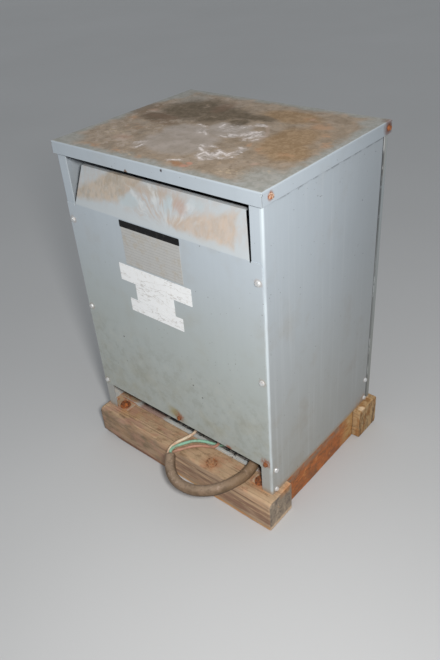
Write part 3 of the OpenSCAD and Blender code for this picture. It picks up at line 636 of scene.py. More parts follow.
to_left = film * inner * lid.x.fade(-0.02, -0.12) * (1 - dark)
lid.lay(0.45 * to_left * blotches.fade(0.52, 0.60), (184, 168, 156), 0.65)
lid.lay(0.40 * to_left * blotches.fade(0.47, 0.38), (124, 114, 102), 0.7)
smooth = lid_patches(0.35, (-22, -84, 92, 80), (-52, -36, 60, 46), (20, 10, 56, 50)) * (1 - 0.9 * dark)
lid.lay(film * 0.88 * smooth, lid.mixed(smudge.fade(0.36, 0.64), (154, 142, 131), (168, 156, 147)), 0.56)
lid.lay(film * 0.30 * smooth * mottle.fade(0.48, 0.36), (128, 118, 108), 0.6)
lid.colour = lid.dimmed(lid.colour, 1 + film * 0.15 * (1 - 0.8 * dark))
lid.relief(film * mottle, 0.0003)
print("lid, film and patches:", len(lid.tree.nodes), "nodes")

# %% [markdown]
# The scuffs are dry strokes where something was dragged over the film: a small cross-hatched knot, a
# sheaf of long arcs and a few single marks. Each one is the distance to a line between two points,
# broken up by fine noise. The chips and the rust round the screws lie on the skirt.

# %% Lid scuffs and chips
KNOT = [(36, -95, 70, -114), (59, -126, 58, -101), (65, -111, 88, -122), (68, -133, 79, -140),
        (27, -81, 41, -86), (49, -79, 60, -79), (76, -111, 102, -119), (74, -89, 109, -104),
        (89, -121, 84, -95), (86, -100, 108, -99), (103, -94, 107, -80), (106, -117, 119, -105)]
SHEAF = [(35, -11, 62, -9), (42, -18, 62, -6), (58, -1, 73, 23), (67, -3, 81, 27), (79, -16, 90, 15),
         (85, -12, 99, 7), (80, -25, 83, -24), (96, -20, 102, -10), (49, 54, 72, 59), (36, 34, 40, 46)]
SINGLES = [(-55, 8, -37, 3), (-21, -30, -11, -28), (-8, 14, -11, 31), (101, -61, 111, -59),
           (27, -25, 41, -27), (-93, -130, -82, -120), (-72, -150, -72, -135), (28, -169, 48, -160),
           (-14, -24, -4, -34)]
SWEEP = [(70, 61, 90, 38), (90, 38, 104, 13), (104, 13, 106, -5)]


def stroke_gap(finish, spot, start, end):
    """Distance from a spot to the line between two points."""
    run = end - start
    local = finish.vectors("SUBTRACT", spot, start)
    share = finish.vectors("DOT_PRODUCT", local, run / run.length_squared, 1)
    held = finish.scaled(run, finish.least(1.0, finish.most(0.0, share)))
    return finish.vectors("DISTANCE", local, held, 1)


def nearest_stroke(*lines):
    """Distance to the nearest of several lines on the lid: x and y of both ends in millimetres."""
    return lid.least(*[stroke_gap(lid, bent, on_lid(*line[:2]), on_lid(*line[2:])) for line in lines])


bent = lid.ragged(0.0028, 0.014, 3)
gap = nearest_stroke(*KNOT, *SHEAF, *SINGLES)
grit = lid.cloud(0.0040, 5, 0.7, shift=3)
scuffed = gap.shaken(0.005, grit).fade(0.0040, 0.0004) * lid.blots(0.012, 0.34, 0.62, 3, 0.6, shift=14)
haze = lid.most(lid_patches(0.7, (76, -118, 34, 30), (80, 10, 30, 30), (46, -12, 17, 14), (57, 61, 16, 11),
                            (110, -76, 12, 26)),
                0.6 * lid_patches(0.8, (20, 20, 50, 40), (-80, -132, 18, 20), (-24, -20, 20, 18)))
lid.lay(film * 0.45 * haze, (176, 166, 160), 0.55)
lid.lay(film * 0.75 * haze * flakes.fade(0.50, 0.60), (222, 212, 208), 0.5)
lid.lay(film * 0.55 * haze * flakes.fade(0.44, 0.34), (112, 106, 92), 0.6)
lid.lay(film * 0.55 * gap.fade(0.012, 0.001) * grit.fade(0.46, 0.58), (214, 202, 196), 0.5)
lid.lay(film * 0.45 * nearest_stroke(*SWEEP).fade(0.0055, 0.0015), (186, 162, 146), 0.55)
lid.lay(film * 0.75 * lid_patches(0.7, (50, -176, 20, 9)), (164, 116, 78), 0.8)
lid.lay(film * 0.60 * lid_patches(0.7, (70, -177, 12, 9), (74, -164, 10, 8)), (204, 142, 120), 0.8)
lid.lay(film * 0.95 * scuffed, (238, 228, 224), 0.5)
chips = lid.near([(CABINET.x + 44 * MM, lid_low.y, 0.749)], 0.0035, 0.6, lid.ragged(0.002, 0.004))
lid.lay(chips, (72, 66, 70), 0.85)
dent_rust = lid.near([(CABINET.x - 48 * MM, lid_low.y, 0.7295)], 0.0055, 0.6, lid.ragged(0.003, 0.004))
lid.lay(0.9 * dent_rust, (108, 78, 52), 0.85)
lid_screw_spots = [(x, y, 741.5 * MM) for x in (lid_low.x, lid_high.x) for y in (-172.2 * MM, 202.2 * MM)]
lid.lay(0.85 * lid.near(lid_screw_spots, 0.0105, 0.6, lid.ragged(0.004, 0.008)), RUST_MID, 0.8)
lid.lay(0.8 * lid.near([lid_screw_spots[3]], 0.024, 0.7, lid.ragged(0.006, 0.010)), (112, 68, 50), 0.85)
shaded = lid.part(0).fade(0.6, 0.9) * (0.05 + 0.19 * lid.y.fade(-0.08, 0.20))
lid.colour = lid.dimmed(lid.colour, 1 - shaded)
lid.dress("lid", round_edges=0.0009)

# %% [markdown]
# ## Sides, back and base
# The plain sheets take the base coat, with dust low down, a little rust where their screws
# have scratched it, and rain streaks. A painted highlight runs down the bend at the front, and soot has
# gathered under the lid's skirt and in the seam at the back. The sides also carry painted shade:
# they are painted darker overall and darker again towards the back and top, while their
# front-facing strips are painted brighter as painted light.

# %% Side finish
def soot(finish):
    """Grey soot low down, nearly black above."""
    return finish.mixed(finish.z.fade(0.42, 0.60), (112, 114, 114), (58, 60, 60))


SIDE_SCREWS = [tuple(c * MM for c in spot)
               for spot in itertools.product((-259, 249), (-176, 184), (89, 144))]
OFF_CENTRE = 5 * MM  # the cabinet stands this far to the left of the frame's middle

side = cabinet_paint("side_panel_paint")
side.lay(0.30 * side.z.fade(0.30, 0.09) * side.cloud(0.03, 5, 0.6, shift=6), (150, 142, 128), 0.7)
side.lay(0.4 * side.near(SIDE_SCREWS, 0.011, where=side.ragged(0.003, 0.006)), (170, 146, 124), 0.6)
side.lay(0.16 * side.blots(0.010, 0.52, 0.7, 4, 0.55, z=40, shift=12), (204, 208, 210), 0.5)
# painted shade: the sides are painted greyer and darker towards the back
side.lay(0.45 * side.y.fade(-0.12, 0.21), (146, 150, 154), 0.6)
bend_x, bend_y = abs(side.x + OFF_CENTRE) - 0.2515, side.y - FACE_Y - 0.002
bend_shine = ((bend_x * bend_x + bend_y * bend_y) ** 0.5).fade(0.0052, 0.0026) * side.x.fade(0.0, 0.1)
side.lay(0.62 * bend_shine * side.blots(0.03, 0.25, 0.50, 3, 0.55, z=5), (200, 210, 215), 0.42)
dusty_foot = side.z.shaken(0.008, side.cloud(0.012, 4, shift=7)).fade(0.094, 0.081)
side.lay(0.65 * dusty_foot, (160, 138, 112), 0.85)
rear_dust = side.y.fade(0.12, 0.19) * side.z.fade(0.115, 0.085) * side.blots(0.014, 0.42, 0.58, shift=4)
side.lay(0.6 * rear_dust, (176, 132, 92), 0.85)
side.lay(0.9 * side.y.fade(0.1885, 0.1905), soot(side), 0.85)
under_skirt = side.z.fade(0.7225, 0.7275) * side.y.fade(-0.17, -0.12)
side.lay(0.65 * (under_skirt * side.blots(0.024, 0.40, 0.54, 4, 0.65, shift=16)), (84, 88, 92), 0.8)
# painted light and shade: front-facing strips painted brighter, side faces painted darker, most at the rear
# top
front_facing_lit = side.part(1).fade(-0.4, -0.9)
rear_top_shade = side.y.fade(-0.06, 0.18) * side.z.fade(0.20, 0.60)
side.colour = side.dimmed(side.colour, (0.93 - 0.11 * rear_top_shade) * (1 - front_facing_lit) + 1.06 * front_facing_lit)
side.dress("side_panel_left", "side_panel_right", round_edges=0.0009)

# %% [markdown]
# The rear panel wraps round both sides. Its wrapped strips are greyer, with soot at the seam.

# %% Rear finish
BACK_Y = 211 * MM

back = cabinet_paint("rear_panel_paint")
back_screws = [(x, BACK_Y, z) for x in SCREW_X for z in SCREW_ROWS_Z]
back.lay(0.4 * back.near(back_screws, 0.012, where=back.ragged(0.003, 0.006)), (160, 128, 104), 0.6)
back.lay(0.4 * back.z.fade(0.34, 0.10) * back.blots(0.04, 0.4, 0.6, rough=0.6, shift=8), DUST, 0.7)
rain = back.blots(0.03, 0.45, 0.6, rough=0.55, z=4, shift=4)
back.lay(0.35 * back.z.fade(0.62, 0.66) * rain, (172, 158, 142), 0.65)
wrapped = abs(back.part(0)).fade(0.6, 0.9)
back.lay(0.35 * wrapped, (150, 156, 150), 0.6)
back.lay(0.8 * back.y.fade(0.1985, 0.1968) * back.blots(0.03, 0.36, 0.5, 4, 0.65, z=2), soot(back), 0.85)
back.colour = back.dimmed(back.colour, 1 - 0.26 * wrapped)
back.dress("rear_panel", round_edges=0.0006)

# %% [markdown]
# The base pan shows as a narrow strip under the front panel, painted pale as painted light, with
# pale dust and painted shadow blots of the cables on it and a painted black shadow of the panel
# behind it. The feet of the base angles are rusty where water stands on the timbers.

# %% Base finish
base = cabinet_paint("base_steel_paint")
base.colour = base.mixed(0.6, base.colour, (176, 176, 170))
base.lay(0.7 * base.part(2).fade(0.4, 0.9) * base.blots(0.03, 0.40, 0.62, shift=3), (164, 142, 116), 0.85)
# painted light: the pan's front strip is painted pale, as if lit under the panel's edge
lit_front_strip = base.y.fade(-0.110, -0.140) * base.z.fade(0.20, 0.15)
base.lay(0.75 * lit_front_strip, (204, 210, 210), 0.6)
# painted shadow: the pan behind the strip is painted nearly black, the panel's shadow
panel_shadow = base.y.shaken(0.006, base.cloud(0.010, 4, 0.65, shift=5)).fade(-0.1500, -0.1482)
panel_shadow = panel_shadow * base.y.fade(0.180, 0.170) * base.part(2).fade(0.4, 0.8)
base.lay(0.92 * panel_shadow * abs(base.x).fade(0.19, 0.18), (34, 32, 31), 0.9)
pale_marks = base.blots(0.012, 0.48, 0.60, shift=19) * lit_front_strip
base.lay(0.5 * pale_marks, (226, 218, 206), 0.7)
# painted shadows of the cables: dark blots on the strip's right part
cable_shadow_blots = base.blots(0.010, 0.62, 0.68, 3, 0.6, y=3, shift=23) * lit_front_strip
base.lay(0.85 * cable_shadow_blots * base.x.fade(-0.06, 0.0), (40, 38, 36), 0.9)
foot = base.most(base.part(2).fade(0.5, 0.9) * base.z.fade(0.112, 0.088), base.z.fade(0.0880, 0.0868))
foot = foot * abs(base.x + OFF_CENTRE).fade(0.180, 0.200)
base.lay(0.85 * foot, base.mixed(base.blots(0.008, 0.46, 0.60), (190, 158, 118), (186, 112, 66)), 0.85)
rust_line = base.x.fade(-0.085, -0.110) * base.x.fade(-0.188, -0.172) * base.y.fade(-0.14, -0.152)
base.lay(0.75 * rust_line, base.mixed(base.cloud(0.006, 4), (134, 86, 70), (176, 132, 112)), 0.85)
base.lay(0.7 * (1 - 0.8 * lit_front_strip) * base.blots(0.018, 0.62, 0.72, rough=0.7, shift=14), RUST_MID, 0.85)
base.dress("base_angle_left", "base_angle_right", "base_pan", "panel_crossbar_front", "panel_crossbar_rear",
           round_edges=0.0006)

# %% [markdown]
# ## Fasteners
# Most sheet-metal screws are still bright zinc with dull recesses. Those that sit in the wet have
# rusted through: the lid screws, the lag bolts in the timbers and two screws of the front panel.

# %% Fastener finishes
def rusted(finish, mask=1.0):
    """Layers of dark, brown and orange rust, rough and scaly."""
    tone = finish.cloud(0.006, 5, 0.65, shift=1.5)
    rust = finish.mixed(tone.fade(0.35, 0.55), RUST_DARK, RUST_MID)
    rust = finish.mixed(finish.blots(0.009, 0.48, 0.66, 4, 0.6, shift=6.6), rust, RUST_ORANGE)
    finish.lay(mask, rust, 0.85, 0.0)
    finish.relief(finish.cloud(0.0022, 4, 0.6, shift=2.4) * mask, 0.0006)


def bright_zinc(name):
    """Zinc plating with dull spots."""
    plate = Finish(name, (232, 233, 234), 0.36, 0.55)
    plate.colour = plate.dimmed(plate.colour, 0.72 + 0.5 * plate.cloud(0.0035, 4))
    plate.lay(plate.blots(0.003, 0.55, 0.68, 4, 0.65, shift=4), (190, 188, 182), 0.65, 0.3)
    plate.relief(plate.cloud(0.0012, 2), 0.00006)
    return plate


rust = Finish("rusted_steel", RUST_MID, 0.85)
rusted(rust)
middle_bolt = rust.patch((0.085, -0.195, 0.090), (0.03, 0.03, 0.03), 0.3)
rust.lay(0.75 * middle_bolt * rust.blots(0.008, 0.36, 0.54, 4, 0.6, shift=3), (176, 138, 104), 0.85)
lid_heads = rust.near(lid_screw_spots[::2], 0.0085, 0.3)
rust.lay(0.75 * lid_heads * rust.blots(0.0035, 0.44, 0.56, 4, 0.6, shift=12), (216, 190, 170), 0.6, 0.2)
rust.dress("lag_bolts", "lid_screws", round_edges=0.0005)

screws = bright_zinc("zinc_screws")
rusted(screws, screws.near(bad_screws, 0.014, 0.2))
screws.lay(0.5 * screws.blots(0.004, 0.58, 0.66, 4, 0.55, shift=9), RUST_MID, 0.8, 0.0)
screws.dress("front_panel_screws", "rear_panel_screws", "side_screws_left", "side_screws_right",
             round_edges=0.0004)

brackets = bright_zinc("zinc_steelwork")
brackets.lay(0.5 * brackets.part(2).fade(0.3, 0.9), (136, 126, 112), 0.8, 0.0)
brackets.lay(0.7 * brackets.blots(0.02, 0.58, 0.68, shift=2), RUST_MID, 0.85, 0.0)
brackets.dress("clamp_bottom_front", "clamp_bottom_rear", "clamp_top_front", "clamp_top_rear", "tie_bolts",
               "board_brackets", round_edges=0.0006)

# %% [markdown]
# ## Core, coils and terminals
# These stand inside the cabinet and show only through the openings, but they are finished as well.
# The core is a stack of thin varnished steel sheets, so fine lines run round it. The coils are
# strip wound in layers under brown varnish. The terminal board is a red-brown laminate.

# %% Core and coil finishes
stack = Finish("core_laminations", (74, 70, 68), 0.55, 0.25)
layers = stack.node("ShaderNodeTexWave", {"bands_direction": "Y"},
                    {"Vector": stack.place, "Scale": 160.0, "Distortion": 1.0, "Detail": 2.0})
stack.colour = stack.dimmed((92, 86, 82), 0.7 + 0.5 * layers)
stack.lay(stack.blots(0.03, 0.52, 0.66), (104, 72, 50), 0.8, 0.0)
stack.lay(0.6 * stack.part(2).fade(0.4, 0.9), (120, 110, 98), 0.85, 0.0)
stack.relief(layers, 0.0002)
stack.dress("core", round_edges=0.001)

winding = Finish("varnished_winding", (112, 72, 36), 0.36, Coat_Weight=0.4, Coat_Roughness=0.25)
turns = winding.node("ShaderNodeTexWave", {"bands_direction": "Z"},
                     {"Vector": winding.place, "Scale": 38.0, "Distortion": 0.6, "Detail": 2.0})
winding.colour = winding.mixed(winding.cloud(0.03, 5), (96, 58, 28), (150, 104, 56))
winding.colour = winding.dimmed(winding.colour, 0.75 + 0.4 * turns)
winding.lay(0.55 * winding.part(2).fade(0.4, 0.9), (130, 116, 100), 0.85)
winding.relief(turns, 0.0006)
winding.dress("coil_left", "coil_middle", "coil_right", round_edges=0.0015)

board = Finish("insulating_board", (150, 96, 70), 0.55)
weave = board.cloud(0.004, 4, 0.6, x=3, y=3)
board.colour = board.mixed(weave, (128, 78, 56), (172, 116, 86))
board.lay(0.5 * board.blots(0.03, 0.5, 0.65, 4, 0.55, shift=5), (150, 134, 116), 0.8)
board.relief(weave, 0.00015)
board.dress("terminal_board", "coil_blocks", round_edges=0.0008)

pads = Finish("pad_rubber", (46, 44, 42), 0.75)
pads.lay(pads.blots(0.01, 0.46, 0.66), (104, 94, 84), 0.9)
pads.relief(pads.cloud(0.0015, 3), 0.0002)
pads.dress("rubber_pads", round_edges=0.001)

lugs = Finish("dull_aluminium", (196, 196, 192), 0.42, 0.9)
lugs.colour = lugs.dimmed(lugs.colour, 0.8 + 0.35 * lugs.cloud(0.004, 4))
lugs.lay(0.6 * lugs.blots(0.006, 0.54, 0.66, 4, 0.55, shift=3), (150, 142, 130), 0.8, 0.1)
lugs.relief(lugs.cloud(0.0012, 3, z=6), 0.00015)
lugs.dress("terminal_lugs", "ground_lug", "winding_leads", round_edges=0.0006)


# %% [markdown]
# ## Timbers
# The skid is made of square, rough-sawn timbers. Real ones have worn edges, raised grain, long
# drying cracks and ends that split. Bump alone would leave their outline as straight as the CAD
# block, so each timber is a fine mesh of its own: a lattice over the block, whose vertices are
# pulled inwards by worn edges, grain and cracks. It never grows past the block.

# %% Lattice over a block
def lattice_block(counts):
    """Corners (i, j, k) and quads of a block's surface, split into counts steps along each axis."""
    index, corners, quads = {}, [], []

    def corner(key):
        if key not in index:
            index[key] = len(corners)
            corners.append(key)
        return index[key]

    for axis in range(3):
        b, c = (axis + 1) % 3, (axis + 2) % 3
        for level in (0, counts[axis]):
            for p in range(counts[b]):
                for q in range(counts[c]):
                    loop = []
                    for dp, dq in ((0, 0), (1, 0), (1, 1), (0, 1)):
                        key = [0, 0, 0]
                        key[axis], key[b], key[c] = level, p + dp, q + dq
                        loop.append(corner(tuple(key)))
                    quads.append(loop if level else loop[::-1])
    return corners, quads


class Crack:
    """A drying crack along the grain on one long face."""

    def __init__(self, rng, length, width):
        reach = rng.uniform(0.12, 0.5) * length
        self.start = rng.uniform(-0.55, 0.5) * length
        self.end = self.start + reach
        self.at = rng.uniform(-0.42, 0.42) * width
        self.lean = rng.uniform(-0.02, 0.02)
        self.wide = rng.uniform(0.9, 1.7) * MM
        self.deep = rng.uniform(0.6, 2.4) * MM
        self.seed = rng.uniform(0, 50)

    def depth(self, along, across):
        if not self.start < along < self.end:
            return 0.0
        share = (along - self.start) / (self.end - self.start)
        drift = self.lean * (along - self.start) + 3 * MM * noise.noise(Vector((along * 18, self.seed, 0)))
        gap = (across - self.at - drift) / self.wide
        return self.deep * math.sin(math.pi * share) ** 0.6 * math.exp(-gap * gap)


# %% [markdown]
# For each vertex the worn edge comes first: the point is pulled to a rounded rectangle whose radius
# changes along the timber. Grain and cracks then push it in along its face, and broken corners cut
# it off at a slanting, splintered plane.

# %% Rough-sawn timber
ALONG_X, ALONG_Y = 0, 1
STEP_ALONG, STEP_ACROSS, END_TAPER = 4.5 * MM, 1.25 * MM, 3 * MM


def sawn_timber(node, axis, seed, breaks=(), worn=4.5 * MM, crest=None):
    """A timber in place of a CAD block that lies along an axis.

    Its long edges are worn to that radius, the one at the top front to the radius crest. Each
    break is a point, the direction out of the wood, and how rough the broken plane is.
    """
    rng = random.Random(seed)
    low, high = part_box(node)
    middle, half = (low + high) / 2, (high - low) / 2
    cross = 1 - axis
    length, width, height = 2 * half[axis], 2 * half[cross], 2 * half[2]
    counts = [0, 0, 0]
    counts[axis] = round(length / STEP_ALONG)
    counts[cross] = round(width / STEP_ACROSS)
    counts[2] = round(height / STEP_ACROSS)
    corners, quads = lattice_block(counts)
    cracks = {face: [Crack(rng, length, width) for _ in range(9)] for face in ("up", "down", "one", "two")}
    vertices = []
    for key in corners:
        u = (key[axis] / counts[axis] - 0.5) * length
        v = (key[cross] / counts[cross] - 0.5) * width
        w = (key[2] / counts[2] - 0.5) * height
        grain = Vector((u * 9, v * 230, w * 230 + seed))
        wave = Vector((u * 7, v * 24 + seed, w * 24))
        r = crest if crest and v < 0 < w else worn
        r *= 1 + 0.4 * noise.noise(Vector((u * 12, seed, 10 * (v > 0) + 20 * (w > 0))))
        r += 1.2 * MM * max(0.0, noise.noise(Vector((u * 60, 5 * (v > 0), 9 * (w > 0) + seed))))
        inner_v = max(-width / 2 + r, min(width / 2 - r, v))
        inner_w = max(-height / 2 + r, min(height / 2 - r, w))
        out = Vector((0, v - inner_v, w - inner_w))
        if out.length > 1e-9 and abs(out.y) > 1e-9 and abs(out.z) > 1e-9:
            out = out.normalized() * r
            v, w = inner_v + out.y, inner_w + out.z
        end = min(length / 2 - abs(u), END_TAPER) / END_TAPER
        shrink = 1 - 0.022 * (1 - end) ** 2
        v, w = v * shrink, w * shrink
        push = 0.35 * MM * (0.5 + noise.noise(grain)) + 0.5 * MM * (0.5 + noise.noise(wave))
        level = abs(w) / height > abs(v) / width
        face = ("up" if w > 0 else "down") if level else ("one" if v > 0 else "two")
        push += max(c.depth(u, v if level else w) for c in cracks[face])
        if key[axis] in (0, counts[axis]):
            rings = noise.noise(Vector((v * 160, w * 160, seed)))
            check = abs(v * 0.8 + w * 0.5 + 9 * MM * noise.noise(Vector((v * 40, w * 40, seed))))
            split = max(0.0, 1 - check / (1.4 * MM))
            split *= max(0.0, noise.noise(Vector((v * 50, w * 30, seed + 9))) + 0.3)
            u -= math.copysign(0.6 * MM * (0.5 + rings) + 2.0 * MM * split, u)
        elif level:
            w -= math.copysign(push, w)
        else:
            v -= math.copysign(push, v)
        point = Vector((0, 0, 0))
        point[axis], point[cross], point[2] = u, v, w
        point += middle
        for plane_at, plane_out, rough in breaks:
            splinters = noise.noise(Vector((point.x * 60, point.y * 400, point.z * 400)))
            over = (point - plane_at).dot(plane_out)
            over += rough * (noise.noise(point * 160) + 0.6 * splinters)
            if over > 0:
                point -= plane_out * over
        vertices.append(Vector([max(a, min(b, c)) for a, b, c in zip(low, high, point)]))
    piece = add_piece(node + "_visible", vertices, quads, "timber", replaces=(node,))
    print(f"{piece.name}: {2 * len(quads)} triangles")
    return piece


front_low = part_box("skid_timber_front")[0]
broken_end = (Vector((front_low.x, front_low.y, 0.012)),
              Vector((-0.12, -0.45, -0.88)).normalized(), 2 * MM)
broken_edge = (Vector((front_low.x + 0.10, front_low.y + 0.001, 0.001)),
               Vector((0.0, -0.75, -0.66)).normalized(), 1.6 * MM)
timbers = {
    "front": sawn_timber("skid_timber_front", ALONG_X, seed=11, breaks=(broken_end, broken_edge),
                         worn=3.5 * MM, crest=11 * MM),
    "rear": sawn_timber("skid_timber_rear", ALONG_X, seed=23),
    "left": sawn_timber("skid_timber_left", ALONG_Y, seed=37, worn=3 * MM),
    "right": sawn_timber("skid_timber_right", ALONG_Y, seed=41, worn=3 * MM),
}


# %% [markdown]
# ## Timber finish
# Wood is layers of growth rings cut by the saw. Distance from the heart of the tree, shaken a
# little along the trunk, gives the rings. Noise drawn out along the grain gives fibres and cracks.

# %% Timber material
RING_WIDTH = 5.2 * MM


def timber_finish(name, axis, heart, top, flank, end, ringed=1.0):
    """Wood along an axis, with its rings round a heart line, in three colours by direction."""
    wood = Finish(name, top, 0.82, Specular_IOR_Level=0.25)
    along = {"xy"[axis]: 16}
    flat = [0.03 if i == axis else 1 for i in range(3)]
    gap = wood.vectors("MULTIPLY", wood.vectors("SUBTRACT", wood.ragged(0.006, 0.10, 2), heart), flat)
    rings = wood.length(gap) * (1 / RING_WIDTH) + 0.5 * wood.cloud(0.02, 3, **along)
    late = wood.maths("FRACT", rings).fade(0.45, 0.95)
    fibre = wood.cloud(0.0022, 4, 0.65, **along, shift=2)
    blotch = wood.cloud(0.05, 5, 0.6, shift=5)
    upward, endward = wood.part(2).fade(0.5, 0.8), abs(wood.part(axis)).fade(0.6, 0.85)
    wood.colour = wood.mixed(upward, flank, top)
    wood.colour = wood.mixed(endward, wood.colour, end)
    wood.colour = wood.dimmed(wood.colour, 0.74 + 0.30 * fibre + 0.42 * blotch - 0.16 * ringed * late)
    wood.lay(0.5 * ringed * wood.blots(0.03, 0.55, 0.72, 4, 0.6, **along, shift=9), (176, 156, 130))
    dark = wood.thin(wood.cloud(0.018, 3, 0.6, **along, shift=4), 0.5, 0.018)
    wood.lay(0.55 * ringed * dark * blotch.fade(0.4, 0.6), (84, 64, 50), 0.9)
    wood.relief(fibre, 0.0005)
    wood.relief(dark, -0.0008)
    wood.relief(late, 0.0002)
    return wood


# %% [markdown]
# The front timber is tan. Its top carries rust round the bolts, three rusty stains, two long grooves
# and mud in two sizes of blots.

# %% Front timber, top
SKID_TOP = 80 * MM


def skid_top(x, y):
    """A point on top of the skid."""
    return Vector((x, y, SKID_TOP))


beam = timber_finish("front_timber", ALONG_X, (0.0, -0.120, -0.055), (180, 152, 122), (166, 140, 116),
                     (142, 128, 112), ringed=0.45)
ragged = beam.ragged(0.014, 0.03, 4)
upper = beam.part(2).fade(0.4, 0.8)
flank = beam.part(1).fade(-0.55, -0.9)
course = beam.z.shaken(0.012, beam.cloud(0.03, 3, x=6, shift=2))
streaky = beam.cloud(0.009, 5, 0.6, x=9, shift=7)
to_right_half = beam.x.fade(-0.10, 0.02)
end_side = beam.part(0).fade(0.6, 0.85)
front_bolts = [skid_top(-0.217, -0.175), skid_top(0.085, -0.195), skid_top(0.207, -0.175)]
beam.lay(0.6 * upper * beam.near(front_bolts, 0.032, 0.8, ragged), (168, 102, 60), 0.85)
for strength, x, y, wide, deep, soft, colour in (
        (0.50, 0.212, -0.180, 0.050, 0.03, 0.8, (186, 124, 78)),
        (0.75, 0.272, -0.150, 0.026, 0.04, 0.7, (206, 130, 72)),
        (0.45, -0.190, -0.185, 0.050, 0.03, 0.8, (200, 148, 92))):
    stain = beam.patch(skid_top(x, y), (wide, deep, 0.02), soft, ragged)
    beam.lay(strength * upper * stain, colour, 0.85)
for x, y, end_x, end_y, shake, wide, colour in (
        (-0.205, -0.205, -0.085, -0.226, 0.004, 0.006, (112, 84, 64)),
        (0.005, -0.215, 0.075, -0.222, 0.005, 0.007, (104, 80, 58))):
    groove = stroke_gap(beam, beam.ragged(shake, 0.02, 4), skid_top(x, y), Vector((end_x, end_y, 0.079)))
    beam.lay(0.6 * upper * groove.fade(wide, 0.001), colour, 0.9)
beam.lay(0.28 * upper * streaky.fade(0.52, 0.62), (196, 166, 136), 0.85)
trodden = beam.cloud(0.016, 6, 0.70, x=1.6, shift=33)
beam.lay(0.50 * upper * trodden.fade(0.52, 0.62), (128, 102, 74), 0.88)
beam.lay(0.40 * upper * trodden.fade(0.46, 0.36), (200, 168, 138), 0.85)
beam.lay(0.35 * upper * beam.blots(0.024, 0.52, 0.62, x=1.5, shift=38), (178, 124, 98), 0.88)
print("front timber, top:", len(beam.tree.nodes), "nodes")

# %% [markdown]
# The sawn face in front is weathered in bands that wander with the grain: an olive tone on the left,
# a dark, wet band on the right, a long dark shake near the top with a pale ridge under it, and a
# splintered lower edge. The end grain on the right is dark with pale fibres.

# %% Front timber, face and end
SHAKE_Z, RIDGE_Z = 62.5 * MM, 54 * MM

olive_left = beam.x.fade(0.0, -0.12) * beam.part(2).fade(0.85, 0.35)
beam.lay(0.55 * olive_left * beam.blots(0.022, 0.44, 0.56, x=2, shift=21), (118, 104, 80), 0.85)
beam.lay(0.6 * (1 - to_right_half) * beam.blots(0.024, 0.50, 0.60, x=1.6, shift=24), (178, 138, 120), 0.85)
dark_band = course.fade(0.012, 0.018) * course.fade(0.056, 0.046) * (0.15 + 0.85 * to_right_half)
beam.lay(0.62 * flank * dark_band * streaky.fade(0.36, 0.56), (122, 84, 68), 0.85)
beam.lay(0.55 * flank * beam.blots(0.030, 0.50, 0.60, x=2, shift=31), (176, 142, 112), 0.85)
shake_line = 0.6 * abs(course - SHAKE_Z).fade(0.0030, 0.0012) * flank * (0.2 + 0.8 * to_right_half)
beam.lay(shake_line * streaky.fade(0.40, 0.52), (96, 62, 48), 0.9)
pale_ridge = abs(course - RIDGE_Z).fade(0.0042, 0.0020)
beam.lay(0.65 * pale_ridge * flank * to_right_half * streaky.fade(0.60, 0.46), (206, 172, 138), 0.85)
left_low = course.fade(0.014, 0.007) * (1 - to_right_half)
beam.lay(0.7 * flank * left_low, (112, 74, 60), 0.85)
splintered = beam.z.shaken(0.012, beam.cloud(0.010, 5, 0.65, x=2, shift=13))
low_edge = splintered.fade(0.012, 0.005) * to_right_half * (1 - 0.7 * end_side)
beam.lay(0.7 * low_edge, beam.mixed(streaky.fade(0.42, 0.58), (196, 132, 76), (216, 172, 122)), 0.85)
end_fibre = beam.cloud(0.022, 5, 0.66, z=1.3, shift=6)
beam.lay(0.55 * end_side * end_fibre.fade(0.50, 0.60), (96, 84, 82), 0.9)
beam.lay(0.60 * end_side * end_fibre.fade(0.47, 0.38), (186, 164, 144), 0.9)
end_rust = beam.patch((0.27, -0.156, 0.082), (0.05, 0.036, 0.026), 0.7, ragged)
beam.lay(0.8 * end_side * end_rust, (170, 118, 72), 0.88)
beam.lay(0.80 * end_side * splintered.fade(0.014, 0.006), (220, 192, 162), 0.85)
beam.dress(timbers["front"])

# %% [markdown]
# The timber under the right side is soaked with orange rust, in blots of three sizes. It is grey
# right under the sheet above it and paler towards the rear.

# %% Right timber
sill = timber_finish("right_timber", ALONG_Y, (0.10, 0.0, -0.04), (150, 108, 74), (160, 98, 58),
                     (138, 128, 122))
soak = sill.cloud(0.022, 5, 0.68, y=1.8, z=1.2, shift=3)
blots = sill.cloud(0.030, 5, 0.65, y=1.5, shift=17)
sill.lay(0.85 * soak.fade(0.38, 0.52), (168, 102, 60), 0.88)
sill.lay(0.5 * blots.fade(0.52, 0.62), (188, 110, 64), 0.88)
sill.lay(0.6 * blots.fade(0.46, 0.37), (128, 86, 64), 0.88)
scorched = sill.cloud(0.013, 5, 0.70, y=1.6, z=1.2, shift=41)
sill.lay(0.6 * scorched.fade(0.52, 0.61), (118, 88, 62), 0.9)
sill.lay(0.5 * scorched.fade(0.44, 0.34), (208, 142, 88), 0.88)
by_panel = sill.z.fade(0.052, 0.070) * sill.blots(0.016, 0.44, 0.56, rough=0.66, y=1.6, shift=8)
sill.lay(0.65 * by_panel, (136, 122, 106), 0.9)
to_rear = sill.y.shaken(0.03, soak).fade(0.070, 0.125)
sill.lay(0.85 * to_rear, sill.mixed(soak.fade(0.40, 0.58), (164, 112, 62), (186, 150, 100)), 0.85)
sill.lay(0.5 * to_rear * sill.blots(0.016, 0.54, 0.64, 4, 0.6, y=2, shift=5), (206, 176, 134), 0.85)
sill.relief(sill.cloud(0.004, 4, 0.6), 0.0010)
sill.relief(blots, 0.0012)
sill.dress(timbers["right"])
